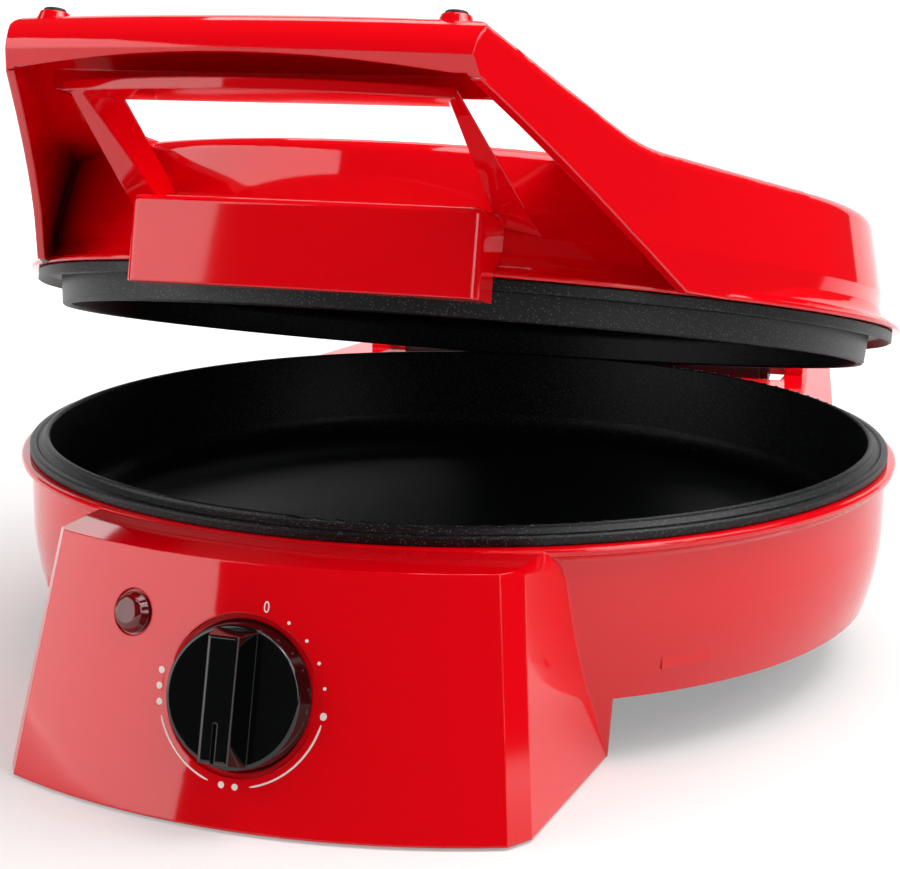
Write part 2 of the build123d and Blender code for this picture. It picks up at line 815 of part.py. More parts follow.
with BuildPart() as rubber_feet:
    add(pegs(Plane.XY, front_foot_spots, foot_radius, foot_plate_low))
    add(pegs(Plane.XY, rear_foot_spots, foot_radius, foot_plate_low))
    add(pegs(Plane.XY, front_foot_spots, foot_plug_radius - fixed_play, foot_plate_top + 2.0))
    add(pegs(Plane.XY, rear_foot_spots, foot_plug_radius - fixed_play, foot_plate_top + 2.0))

with BuildPart() as cover_screws:
    add(screws(from_below(bowl_foot_height), flipped(cover_spots), cover_thickness + 6.0))
    add(screws(from_below(foot_plate_low), flipped(front_plate_spots), cover_thickness + 6.0))
    add(screws(from_below(foot_plate_low), flipped(rear_plate_spots), cover_thickness + 6.0))

with BuildPart() as lower_heating_element:
    add(heating_element(pan_under - element_radius, pan_under - element_radius - terminal_drop))

with BuildPart() as lower_heat_shield:
    add(heat_shield(strap_top, shield_rim))

with BuildPart() as pan_clamps:
    add(straps(strap_low))

with BuildPart() as pan_screws:
    add(screws(from_below(strap_low), boss_spots, strap_sheet + shield_sheet + 6.0))

# Control behind the panel
with BuildPart() as thermostat_bracket:
    with BuildSketch(knob_plane.offset(bracket_back)):
        RectangleRounded(2 * bracket_half + 4.0, bracket_height, 4.0)
        Circle(shaft_radius + 1.0, mode=Mode.SUBTRACT)
        with Locations(*bracket_spots):
            Circle(screw_radius + 0.3, mode=Mode.SUBTRACT)
    extrude(amount=bracket_sheet)

with BuildPart() as thermostat_screws:
    add(
        screws(
            Plane(origin=knob_plane.offset(bracket_back).origin, x_dir=(-1, 0, 0), z_dir=-knob_plane.z_dir),
            bracket_spots,
            bracket_sheet + 5.0,
        )
    )

with BuildPart() as thermostat_body:
    with BuildSketch(knob_plane.offset(bracket_back)):
        Circle(thermostat_radius)
    extrude(amount=-thermostat_depth)
    fillet(thermostat_body.edges().group_by(SortBy.DISTANCE)[-1], 1.5)
    with BuildSketch(knob_plane.offset(bracket_back - thermostat_depth)):
        with Locations((-8.0, 5.0), (8.0, 5.0), (0.0, -9.0)):
            Rectangle(6.3, 0.8)
    extrude(amount=-7.0)
    add(
        pegs(knob_plane.offset(bracket_back), centre, shaft_radius + running_gap, -shaft_seat),
        mode=Mode.SUBTRACT,
    )

knob_low = -dial_recess_depth + knob_gap
knob_bore_top = knob_low + knob_bore_depth
with BuildPart() as thermostat_shaft:
    with BuildSketch(knob_plane.offset(bracket_back - shaft_seat + 0.3)):
        Circle(shaft_radius)
    extrude(amount=knob_bore_top - bracket_back + shaft_seat - 0.3)
    with BuildSketch(knob_plane.offset(knob_low)):
        with Locations((0, shaft_radius - shaft_flat / 2 + 0.5)):
            Rectangle(2 * shaft_radius, shaft_flat + 1.0)
    extrude(amount=knob_bore_depth, mode=Mode.SUBTRACT)

with BuildPart() as control_knob:
    with BuildSketch(knob_plane.offset(knob_low)):
        Circle(knob_radius)
    with BuildSketch(knob_plane.offset(knob_low + knob_disc)):
        Circle(knob_face_radius)
    loft(ruled=True)
    fillet(control_knob.faces().sort_by(Axis(knob_plane.origin, knob_plane.z_dir))[-1].edges(), 1.2)
    with BuildSketch(knob_plane.offset(knob_low + knob_disc - 1.0)):
        Rectangle(knob_grip_foot, 2 * knob_face_radius - 2.0)
    with BuildSketch(knob_plane.offset(knob_grip)):
        Rectangle(knob_grip_width, 2 * knob_face_radius - 5.0)
    loft(ruled=True)
    fillet(control_knob.faces().sort_by(Axis(knob_plane.origin, knob_plane.z_dir))[-1].edges(), 1.0)
    with BuildSketch(knob_plane.offset(knob_grip)):
        with Locations((0, -knob_face_radius + 8.0)):
            Rectangle(1.2, 11.0)
    extrude(amount=-0.8, mode=Mode.SUBTRACT)
    with BuildSketch(knob_plane.offset(knob_low)):
        Circle(knob_radius - 2.5)
        Circle(knob_hub_radius, mode=Mode.SUBTRACT)
    extrude(amount=3.2, mode=Mode.SUBTRACT)
    with BuildSketch(knob_plane.offset(knob_low)):
        Circle(shaft_radius + fixed_play)
        with Locations((0, shaft_radius + fixed_play - shaft_flat / 2 + 0.5)):
            Rectangle(2 * shaft_radius, shaft_flat + 1.0, mode=Mode.SUBTRACT)
    extrude(amount=knob_bore_depth + 0.3, mode=Mode.SUBTRACT)

with BuildPart() as knob_clip:
    with BuildSketch(knob_plane.offset(knob_low + 0.3)):
        Circle(knob_hub_radius + 0.8)
        Circle(knob_hub_radius + fixed_play, mode=Mode.SUBTRACT)
        with Locations((0, -knob_hub_radius)):
            Rectangle(3.0, 4.0, mode=Mode.SUBTRACT)
    extrude(amount=2.5)

# Lamp: lens with a hollow shank, held by a ring, and the lamp inside it
with BuildPart() as lamp_lens:
    with BuildSketch(lamp_plane.offset(-lamp_recess_depth)):
        Circle(lamp_lens_radius)
    extrude(amount=lamp_flange)
    with BuildSketch(lamp_plane.offset(-lamp_recess_depth + lamp_flange - 0.2)):
        Circle(lamp_lens_radius)
    extrude(amount=lamp_lens_rise, taper=28)
    fillet(
        lamp_lens.faces().sort_by(Axis(lamp_plane.origin, lamp_plane.z_dir))[-1].edges(),
        lamp_lens_rise * 0.7,
    )
    with BuildSketch(lamp_plane.offset(-lamp_recess_depth)):
        Circle(lamp_shank_radius)
    extrude(amount=-lamp_shank_length)
    with BuildSketch(lamp_plane.offset(-lamp_recess_depth - lamp_shank_length)):
        Circle(lamp_body_radius + fixed_play)
    extrude(amount=lamp_shank_length, mode=Mode.SUBTRACT)

with BuildPart() as lamp_retainer:
    with BuildSketch(lamp_plane.offset(-shell_wall * 1.05 - 0.3 - clip_ring_sheet)):
        Circle(clip_ring_radius)
        Circle(lamp_shank_radius + fixed_play, mode=Mode.SUBTRACT)
    extrude(amount=clip_ring_sheet)

with BuildPart() as lamp_body:
    with BuildSketch(lamp_plane.offset(-lamp_recess_depth - 0.3)):
        Circle(lamp_body_radius)
    extrude(amount=-lamp_body_length)
    fillet(
        lamp_body.faces().sort_by(Axis(lamp_plane.origin, lamp_plane.z_dir))[0].edges(),
        1.0,
    )
    with BuildSketch(lamp_plane.offset(-lamp_recess_depth - 0.3 - lamp_body_length)):
        with Locations((-1.5, 0), (1.5, 0)):
            Circle(0.4)
    extrude(amount=-6.0)

# Wiring space
with BuildPart() as terminal_block:
    with BuildSketch(Plane.XY.offset(foot_plate_top)):
        with Locations((block_side, -block_reach)):
            Rectangle(block_length, block_width)
    extrude(amount=block_height)
    fillet(terminal_block.edges().filter_by(Axis.Z), 1.5)
    with BuildSketch(Plane.XY.offset(foot_plate_top + block_height)):
        with Locations((block_side, -block_reach)):
            with GridLocations(block_length / 3, block_width / 2, 3, 2):
                Circle(2.2)
    extrude(amount=-5.0, mode=Mode.SUBTRACT)
    with BuildSketch(Plane.XZ.offset(block_reach + block_width / 2)):
        with Locations((block_side, foot_plate_top + block_height / 2 - 1.0)):
            with GridLocations(block_length / 3, 10.0, 3, 1):
                Circle(1.8)
    extrude(amount=-block_width, mode=Mode.SUBTRACT)

with BuildPart() as thermal_fuse:
    with BuildSketch(Plane.YZ.offset(-fuse_length / 2)):
        with Locations((20.0, pan_under - fuse_radius)):
            Circle(fuse_radius)
    extrude(amount=fuse_length)
    with BuildSketch(Plane.YZ.offset(-fuse_length / 2 - 8.0)):
        with Locations((20.0, pan_under - fuse_radius)):
            Circle(0.6)
    extrude(amount=fuse_length + 16.0)

with BuildPart() as cord_gland:
    with BuildSketch(gland_plane):
        Circle(gland_flange_radius)
    extrude(amount=2.0)
    with BuildSketch(gland_plane.offset(-shell_wall - 6.0)):
        Circle(gland_radius)
    extrude(amount=shell_wall + 6.0)
    with BuildSketch(gland_plane.offset(-20.0)):
        Circle(gland_bore)
    extrude(amount=40.0, mode=Mode.SUBTRACT)

with BuildPart() as cord_clamp:
    with BuildSketch(Plane.XZ.offset(-clamp_reach)):
        with Locations((gland_side, (gland_height + foot_plate_top) / 2)):
            Rectangle(14.0, gland_height - foot_plate_top)
        with Locations((gland_side, gland_height)):
            Circle(7.0)
            Circle(gland_bore, mode=Mode.SUBTRACT)
    extrude(amount=6.0, both=True)
    with BuildSketch(Plane.XY.offset(foot_plate_top)):
        with Locations((gland_side, clamp_reach)):
            Rectangle(34.0, 12.0)
    extrude(amount=3.0)

# Hinge pins, shouldered so that they set the lid sideways
with BuildPart() as hinge_pins:
    add(pegs(lug_plane.offset(pin_reach), centre, pin_radius, trough_half + pin_seat - pin_reach))
    add(pegs(lug_plane.offset(-pin_reach), centre, pin_radius, -(trough_half + pin_seat - pin_reach)))
    add(pegs(lug_plane.offset(barrel_half + bush_flange + 0.3), centre, pin_collar, collar_length))
    add(pegs(lug_plane.offset(-barrel_half - bush_flange - 0.3), centre, pin_collar, -collar_length))

# Lid shell: round drum with its flange
with BuildPart() as drum_form:
    with BuildSketch(Plane.XZ) as drum_section:
        with BuildLine():
            Line((0, ridge + drum_top_rise), (drum_top_edge, ridge + drum_top_rise))
            ThreePointArc(
                (drum_top_edge, ridge + drum_top_rise),
                (drum_middle_radius, ridge + drum_middle_rise),
                (drum_radius, ridge + drum_bend_rise),
            )
            Line((drum_radius, ridge + drum_bend_rise), (drum_radius, ridge + lid_flange_sweep))
            ThreePointArc(
                (drum_radius, ridge + lid_flange_sweep),
                (drum_radius + 2.5, ridge + lid_flange_sweep - 4.0),
                (lid_flange_radius - 0.7, ridge + lid_flange_rise + lid_flange_thickness),
            )
            Polyline(
                (lid_flange_radius - 0.7, ridge + lid_flange_rise + lid_flange_thickness),
                (lid_flange_radius, ridge + lid_flange_rise + lid_flange_thickness - 0.7),
                (lid_flange_radius, ridge + lid_flange_rise + 0.4),
                (lid_flange_radius - 0.4, ridge + lid_flange_rise),
                (0, ridge + lid_flange_rise),
                (0, ridge + drum_top_rise),
            )
        make_face()
        fillet(
            drum_section.vertices().sort_by_distance((drum_top_edge, ridge + drum_top_rise))[0],
            drum_round,
        )
    revolve(axis=Axis.Z)

with BuildPart() as drum_space:
    with BuildSketch(Plane.XZ) as space_section:
        with BuildLine():
            Line((0, ridge + drum_top_rise - shell_wall), (drum_top_edge - shell_wall, ridge + drum_top_rise - shell_wall))
            ThreePointArc(
                (drum_top_edge - shell_wall, ridge + drum_top_rise - shell_wall),
                (drum_middle_radius - shell_wall, ridge + drum_middle_rise),
                (drum_inner, ridge + drum_bend_rise),
            )
            Polyline(
                (drum_inner, ridge + drum_bend_rise),
                (drum_inner, ridge - 5.0),
                (0, ridge - 5.0),
                (0, ridge + drum_top_rise - shell_wall),
            )
        make_face()
        fillet(
            space_section.vertices().sort_by_distance(
                (drum_top_edge - shell_wall, ridge + drum_top_rise - shell_wall)
            )[0],
            drum_round - shell_wall,
        )
    revolve(axis=Axis.Z)


def wing_wedge(side, inset):
    """Space inside of one wing's surface, which runs from the drum's wall to the bar's end."""
    reach = math.hypot(wing_half_front, wing_front)
    turn = math.atan2(wing_half_front, wing_front) + math.acos(drum_radius / reach)
    out = (side * math.sin(turn), -math.cos(turn), 0)
    along = (-side * math.cos(turn), -math.sin(turn), 0)
    run = wing_front + 25.0
    wide = drum_radius + wing_flare - inset
    far = Plane(origin=(along[0] * run, along[1] * run, ridge), x_dir=(side * out[0], side * out[1], 0), z_dir=along)
    near = Plane(origin=(0, 0, ridge), x_dir=(side * out[0], side * out[1], 0), z_dir=along)
    drop = inset + wing_sink
    with BuildPart() as wedge:
        with BuildSketch(near):
            with BuildLine():
                Line((side * (drum_radius - drop), -15.0), (side * (drum_radius - drop), drum_bend_rise))
                ThreePointArc(
                    (side * (drum_radius - drop), drum_bend_rise),
                    (side * (drum_middle_radius - drop), drum_middle_rise),
                    (side * (drum_top_edge - drop), drum_top_rise),
                )
                Polyline(
                    (side * (drum_top_edge - drop), drum_top_rise),
                    (side * (drum_top_edge - drop), 90.0),
                    (-side * 260.0, 90.0),
                    (-side * 260.0, -15.0),
                    (side * (drum_radius - drop), -15.0),
                )
            make_face()
        with BuildSketch(far):
            with BuildLine():
                Line((side * (wide - wing_tuck), -15.0), (side * (wide - wing_tuck), 15.0))
                ThreePointArc(
                    (side * (wide - wing_tuck), 15.0),
                    (side * (wide - 0.44 * wing_tuck), 28.0),
                    (side * wide, 46.0),
                )
                Polyline(
                    (side * wide, 46.0),
                    (side * wide, 90.0),
                    (-side * 260.0, 90.0),
                    (-side * 260.0, -15.0),
                    (side * (wide - wing_tuck), -15.0),
                )
            make_face()
        loft(ruled=True)
    return wedge.part


def hood_form(inset, low_reach, edge_round):
    """Wings and bar: the bar's bowed front, the sides that run back from it, and the sloping top."""
    nose = bar_bow_radius - inset
    tip = bar_nose_at + 20.0
    slope_end = hood_plane_rise + hood_slope * (tip - hood_plane_at) - inset
    join_at = hood_plane_at - (hood_plane_rise - drum_top_rise) / hood_slope
    with BuildPart() as hood:
        with BuildSketch(Plane(origin=(0, bar_bow_radius - bar_nose_at, ridge), x_dir=(1, 0, 0), z_dir=(0, -1, 0))):
            with BuildLine():
                Line((0, bar_top_rise - inset), (nose - bar_top_set, bar_top_rise - inset))
                ThreePointArc(
                    (nose - bar_top_set, bar_top_rise - inset),
                    (nose - bar_shoulder_set, bar_shoulder_rise - inset / 2),
                    (nose, bar_nose_rise),
                )
                Polyline(
                    (nose, bar_nose_rise),
                    (nose - bar_low_set, bar_low_rise - low_reach),
                    (nose - bar_low_set, -15.0),
                    (0, -15.0),
                    (0, bar_top_rise - inset),
                )
            make_face()
        revolve(axis=Axis((0, bar_bow_radius - bar_nose_at, 0), (0, 0, 1)))
        with BuildSketch(Plane.YZ.offset(-200.0)) as side_view:
            with BuildLine():
                Polyline(
                    (-wing_tip_at, ridge + bar_low_rise - low_reach),
                    (-tip, ridge + bar_low_rise - low_reach),
                    (-tip, ridge + slope_end),
                    (-join_at, ridge + drum_top_rise - inset),
                    (-40.0, ridge + drum_top_rise - inset),
                    (-40.0, ridge + lid_flange_rise - low_reach),
                    (-wing_foot_at, ridge + lid_flange_rise - low_reach),
                )
                ThreePointArc(
                    (-wing_foot_at, ridge + lid_flange_rise - low_reach),
                    (-wing_mid_at, ridge + wing_mid_rise - low_reach),
                    (-wing_tip_at, ridge + bar_low_rise - low_reach),
                )
            make_face()
            fillet(
                side_view.vertices().sort_by_distance((-join_at, ridge + drum_top_rise - inset))[0],
                hood_blend,
            )
        extrude(amount=400.0, mode=Mode.INTERSECT)
        add(wing_wedge(1, inset), mode=Mode.INTERSECT)
        add(wing_wedge(-1, inset), mode=Mode.INTERSECT)
        if edge_round:
            upper = hood.edges().filter_by(lambda e: e.center().Z > ridge + 36.0 and abs(e.center().X) > 68.0)
            fillet(upper.filter_by(lambda e: e.length > 8.0), edge_round)
    return hood.part


with BuildPart() as hood_space:
    add(hood_form(shell_wall, 60.0, 0))
    add(drum_form.part, mode=Mode.SUBTRACT)

# Walls that close the bar at the back and line the finger hole
with BuildPart() as collar_walls:
    with BuildSketch(Plane.XY.offset(ridge + bar_low_rise)):
        with Locations((0, -bar_back + shell_wall / 2)):
            Rectangle(2 * bar_wall_half, shell_wall)
        with Locations((-window_half - shell_wall / 2, -bar_back + 16.0), (window_half + shell_wall / 2, -bar_back + 16.0)):
            Rectangle(shell_wall, 32.0)
    extrude(amount=30.0)
    add(hood_form(0.5, 0.0, 0), mode=Mode.INTERSECT)

with BuildPart() as finger_hole:
    with BuildSketch(Plane.XY.offset(ridge + 10.0)) as hole_plan:
        with Locations((0, -bar_back + shell_wall + 35.0)):
            Rectangle(2 * window_half, 70.0)
        fillet(hole_plan.vertices().group_by(Axis.Y)[0], window_round)
    extrude(amount=80.0)
    add(drum_form.part, mode=Mode.SUBTRACT)

# The bar's lower edge is arched
with BuildPart() as bar_arch:
    with BuildSketch(Plane.XZ.offset(bar_back + 10.0)):
        with BuildLine():
            ThreePointArc(
                (-bar_wall_half, ridge + bar_low_rise),
                (0, ridge + bar_arch_rise),
                (bar_wall_half, ridge + bar_low_rise),
            )
            Line((bar_wall_half, ridge + bar_low_rise), (-bar_wall_half, ridge + bar_low_rise))
        make_face()
    extrude(amount=50.0)

stud_spots = [(-stud_half, -stud_at), (stud_half, -stud_at)]
insert_screw_plane = Plane(
    origin=(0, -insert_screw_seat, ridge + insert_screw_rise), x_dir=(-1, 0, 0), z_dir=(0, 1, 0)
)
insert_screw_spots = [(-36.0, 0), (36.0, 0)]
bracket_screw_plane = Plane(origin=(0, drum_radius - 2.0, ridge + saddle_screw_rise), x_dir=(-1, 0, 0), z_dir=(0, 1, 0))
saddle_spots = [(-40.0, 0), (-14.0, 0), (14.0, 0), (40.0, 0)]

# Posts inside the drum that take the bracket's screws, and seats for those of the handle insert
with BuildPart() as saddle_posts:
    add(pegs(bracket_screw_plane, saddle_spots, cover_post_radius, -saddle_post))
    add(pegs(insert_screw_plane, insert_screw_spots, cover_post_radius, -6.0))
    add(drum_form.part, mode=Mode.INTERSECT)

with BuildPart() as lid_shell:
    add(drum_form.part)
    add(hood_form(0.0, 0.0, wing_round))
    add(drum_space.part, mode=Mode.SUBTRACT)
    add(hood_space.part, mode=Mode.SUBTRACT)
    add(collar_walls.part)
    add(finger_hole.part, mode=Mode.SUBTRACT)
    add(
        ribs(
            ridge + drum_bend_rise - 3.0,
            lid_strap_low - ridge - drum_bend_rise + 3.0,
            ledge_lid_radius,
            drum_inner + 1.0,
            boss_angles,
        )
    )
    with BuildSketch(Plane.XY.offset(ridge + stud_top_rise)):
        with Locations(*stud_spots):
            Circle(stud_top_radius)
    extrude(amount=-stud_top_rise + hood_plane_rise - 3.0, taper=-22)
    add(
        pegs(Plane.XY.offset(ridge + stud_top_rise), stud_spots, stud_plug_radius + fixed_play, -stud_plug_length),
        mode=Mode.SUBTRACT,
    )
    add(bar_arch.part, mode=Mode.SUBTRACT)
    add(saddle_posts.part)
    add(
        pegs(bracket_screw_plane.offset(10.0), saddle_spots, screw_radius + thread_play, -saddle_post - 6.0),
        mode=Mode.SUBTRACT,
    )
    add(
        pegs(insert_screw_plane.offset(1.0), insert_screw_spots, screw_radius + screw_play, -15.0),
        mode=Mode.SUBTRACT,
    )

with BuildPart() as stud_tips:
    with BuildSketch(Plane.XY.offset(ridge + stud_top_rise)):
        with Locations(*stud_spots):
            Circle(stud_tip_radius)
    extrude(amount=stud_tip_rise - stud_top_rise)
    fillet(stud_tips.edges().group_by(Axis.Z)[-1], 0.7)
    add(pegs(Plane.XY.offset(ridge + stud_top_rise), stud_spots, stud_plug_radius, 0.3 - stud_plug_length))

# Space that pieces beside the drum keep clear of
with BuildPart() as drum_clear:
    with BuildSketch(Plane.XZ):
        with BuildLine():
            Polyline(
                (0, ridge + drum_top_rise + 1.0),
                (drum_top_edge + insert_gap, ridge + drum_top_rise + 1.0),
                (drum_top_edge + insert_gap, ridge + drum_top_rise),
            )
            ThreePointArc(
                (drum_top_edge + insert_gap, ridge + drum_top_rise),
                (drum_middle_radius + insert_gap, ridge + drum_middle_rise),
                (drum_radius + insert_gap, ridge + drum_bend_rise),
            )
            Line(
                (drum_radius + insert_gap, ridge + drum_bend_rise),
                (drum_radius + insert_gap, ridge + lid_flange_sweep + insert_gap),
            )
            ThreePointArc(
                (drum_radius + insert_gap, ridge + lid_flange_sweep + insert_gap),
                (drum_radius + 2.5 + insert_gap, ridge + lid_flange_sweep - 4.0 + insert_gap),
                (lid_flange_radius - 0.5, ridge + lid_flange_rise + lid_flange_thickness + insert_gap),
            )
            Polyline(
                (lid_flange_radius - 0.5, ridge + lid_flange_rise + lid_flange_thickness + insert_gap),
                (lid_flange_radius + insert_gap, ridge + lid_flange_rise + lid_flange_thickness),
                (lid_flange_radius + insert_gap, ridge - 20.0),
                (0, ridge - 20.0),
                (0, ridge + drum_top_rise + 1.0),
            )
        make_face()
    revolve(axis=Axis.Z)

# Handle insert: lip plate under the bar, two posts, and the block in front of the drum
with BuildPart() as insert_block:
    with BuildSketch(Plane.XY.offset(ridge - insert_low_drop)) as block_plan:
        with BuildLine():
            ThreePointArc(
                (-insert_half, -insert_front + insert_bow), (0, -insert_front), (insert_half, -insert_front + insert_bow)
            )
            Polyline(
                (insert_half, -insert_front + insert_bow),
                (insert_half, -insert_back),
                (-insert_half, -insert_back),
                (-insert_half, -insert_front + insert_bow),
            )
        make_face()
        fillet(block_plan.vertices().group_by(Axis.Y)[0], 4.0)
    extrude(amount=insert_low_drop + insert_top_rise)
    fillet(insert_block.faces().sort_by(Axis.Z)[-1].edges().sort_by(Axis.Y)[0:3], 2.0)

with BuildPart() as insert_space:
    with BuildSketch(Plane.XY.offset(ridge - insert_low_drop + insert_wall)) as space_plan:
        with BuildLine():
            ThreePointArc(
                (insert_wall - insert_half, -insert_front + insert_bow + insert_wall),
                (0, -insert_front + insert_wall),
                (insert_half - insert_wall, -insert_front + insert_bow + insert_wall),
            )
            Polyline(
                (insert_half - insert_wall, -insert_front + insert_bow + insert_wall),
                (insert_half - insert_wall, -insert_back + 1.0),
                (insert_wall - insert_half, -insert_back + 1.0),
                (insert_wall - insert_half, -insert_front + insert_bow + insert_wall),
            )
        make_face()
    extrude(amount=insert_low_drop + insert_top_rise - 2 * insert_wall)

with BuildPart() as lip_plate:
    with BuildSketch(Plane.XY.offset(ridge + bar_low_rise)):
        with BuildLine():
            ThreePointArc((-lip_half, -lip_front), (0, -lip_front - lip_bow), (lip_half, -lip_front))
            Polyline(
                (lip_half, -lip_front),
                (lip_back_half, -lip_back),
                (-lip_back_half, -lip_back),
                (-lip_half, -lip_front),
            )
        make_face()
    extrude(amount=-10.0)
    add(
        side_block(
            [
                (-lip_front - lip_bow - 2.0, ridge + lip_low_rise - 0.1),
                (-lip_back, ridge + lip_back_rise - 1.5),
                (-lip_back, ridge + bar_low_rise - 0.1),
                (-lip_front - lip_bow - 2.0, ridge + bar_low_rise - 0.1),
            ],
            100.0,
        ),
        mode=Mode.INTERSECT,
    )


def post(side):
    """One curved post from the lip plate down to the drum; side is -1 for left and 1 for right."""
    high = ridge + bar_low_rise - 0.1
    low = ridge + post_low_rise
    run = (high - low) / (bar_low_rise - 2.0 - 21.0)
    foot_front = lip_front + (post_foot_front - lip_front) * run
    foot_half = lip_half + (post_foot_half - lip_half) * run
    foot_back = lip_back + (insert_back - 2.0 - lip_back) * run
    foot_back_half = lip_back_half + (post_foot_half - 2.8 - lip_back_half) * run
    with BuildPart() as leg:
        with BuildSketch(Plane.XY.offset(high)):
            Polygon(
                (side * lip_half, -lip_front),
                (side * lip_back_half, -lip_back),
                (side * (lip_back_half - post_thickness), -lip_back),
                (side * (lip_half - post_thickness), -lip_front),
                align=None,
            )
        with BuildSketch(Plane.XY.offset(low)):
            Polygon(
                (side * foot_half, -foot_front),
                (side * foot_back_half, -foot_back),
                (side * (insert_half - 2.0), -foot_back),
                (side * (insert_half - 2.0), -foot_front),
                align=None,
            )
        loft(ruled=True)
    return leg.part


with BuildPart() as handle_insert:
    add(insert_block.part)
    add(insert_space.part, mode=Mode.SUBTRACT)
    add(lip_plate.part)
    add(post(-1))
    add(post(1))
    add(
        pegs(
            insert_screw_plane,
            insert_screw_spots,
            cover_post_radius - 0.5,
            insert_screw_seat - insert_front + insert_wall / 2,
        )
    )
    add(drum_clear.part, mode=Mode.SUBTRACT)
    add(
        pegs(
            insert_screw_plane.offset(-insert_screw_length - 1.0),
            insert_screw_spots,
            screw_radius + thread_play,
            insert_screw_length,
        ),
        mode=Mode.SUBTRACT,
    )

with BuildPart() as insert_screws:
    add(screws(insert_screw_plane, insert_screw_spots, insert_screw_length))

# Shallow hot plate in the lid; its skirt enters the pan when the lid is shut
with BuildPart() as lid_plate:
    with BuildSketch(Plane.XZ) as plate_section:
        with BuildLine():
            Polyline(
                (0, ridge + lid_ceiling_rise),
                (lid_skirt_radius - lid_land - lid_skirt_draft, ridge + lid_ceiling_rise),
                (lid_skirt_radius - lid_land, ridge - lid_skirt_drop + 0.6),
                (lid_skirt_radius - lid_land + 0.6, ridge - lid_skirt_drop),
                (lid_skirt_radius - 0.6, ridge - lid_skirt_drop),
                (lid_skirt_radius, ridge - lid_skirt_drop + 0.6),
                (lid_skirt_radius + lid_skirt_draft, ridge + lid_ring_under),
                (lid_skirt_radius + 5.3, ridge + lid_ring_under - 0.4),
                (lid_ring_radius - 0.8, ridge - lid_ring_drop),
                (lid_ring_radius, ridge - lid_ring_drop + 0.5),
                (lid_ring_radius, ridge + lid_flange_rise - 0.3),
                (lid_skirt_radius - 0.8, ridge + lid_flange_rise - 0.3),
                (lid_skirt_radius - 0.8, upper_plate_top),
                (0, upper_plate_top),
                (0, ridge + lid_ceiling_rise),
            )
        make_face()
        fillet(
            plate_section.vertices().sort_by_distance(
                (lid_skirt_radius - lid_land - lid_skirt_draft, ridge + lid_ceiling_rise)
            )[0],
            5.0,
        )
    revolve(axis=Axis.Z)
    add(pegs(Plane.XY.offset(upper_plate_top - 1.0), boss_spots, boss_radius, lid_boss_top - upper_plate_top + 1.0))
    add(
        pegs(Plane.XY.offset(lid_boss_top), boss_spots, screw_radius + thread_play, upper_plate_top - lid_boss_top),
        mode=Mode.SUBTRACT,
    )

with BuildPart() as upper_heating_element:
    add(heating_element(upper_plate_top + element_radius, upper_plate_top + element_radius + terminal_drop))

with BuildPart() as lid_heat_shield:
    add(heat_shield(lid_boss_top, -shield_rim + 2.0))
    with BuildSketch(Plane.XY.offset(lid_boss_top)):
        Circle(shield_radius)
        Circle(shield_radius - 5.0, mode=Mode.SUBTRACT)
    extrude(amount=shield_sheet)

with BuildPart() as lid_plate_clips:
    add(straps(lid_strap_low))

with BuildPart() as lid_plate_screws:
    add(screws(Plane.XY.offset(lid_strap_low + strap_sheet), boss_spots, strap_sheet + shield_sheet + 5.5))

# Black hinge bracket across the back: barrel, arm and the saddle screwed to the drum
with BuildPart() as hinge_bracket:
    add(
        side_block(
            [
                (hinge_reach, hinge_height + barrel_radius),
                (hinge_reach - 4.4, ridge + 1.5),
                (saddle_back + 7.0, ridge + 11.0),
                (saddle_back, ridge + 17.0),
                (saddle_back, ridge + saddle_rise),
                (drum_radius - 20.0, ridge + saddle_rise),
                (drum_radius - 20.0, ridge - 1.0),
                (saddle_back + 4.0, ridge - 0.5),
                (hinge_reach - 9.0, hinge_height - 1.5),
                (hinge_reach, hinge_height - barrel_radius + 2.0),
            ],
            arm_half,
        )
    )
    add(pegs(lug_plane.offset(-barrel_half), centre, barrel_radius, 2 * barrel_half))
    add(drum_clear.part, mode=Mode.SUBTRACT)
    add(
        pegs(lug_plane.offset(barrel_half - bush_length - 1.0), centre, bush_radius + fixed_play, bush_length + 2.0),
        mode=Mode.SUBTRACT,
    )
    add(
        pegs(lug_plane.offset(-barrel_half - 1.0), centre, bush_radius + fixed_play, bush_length + 2.0),
        mode=Mode.SUBTRACT,
    )
    add(pegs(bracket_screw_plane.offset(-10.0), saddle_spots, screw_radius + 0.3, 30.0), mode=Mode.SUBTRACT)

with BuildPart() as hinge_bracket_screws:
    add(
        screws(
            bracket_screw_plane.offset(saddle_back - drum_radius + 2.0),
            saddle_spots,
            saddle_back - drum_radius + 8.0,
        )
    )

with BuildPart() as hinge_bushes:
    add(pegs(lug_plane.offset(barrel_half - bush_length), centre, bush_radius, bush_length + 0.5))
    add(pegs(lug_plane.offset(barrel_half), centre, bush_flange_radius, bush_flange))
    add(pegs(lug_plane.offset(-barrel_half - 0.5), centre, bush_radius, bush_length + 0.5))
    add(pegs(lug_plane.offset(-barrel_half - bush_flange), centre, bush_flange_radius, bush_flange))
    add(pegs(lug_plane.offset(-120.0), centre, pin_radius + running_gap, 240.0), mode=Mode.SUBTRACT)

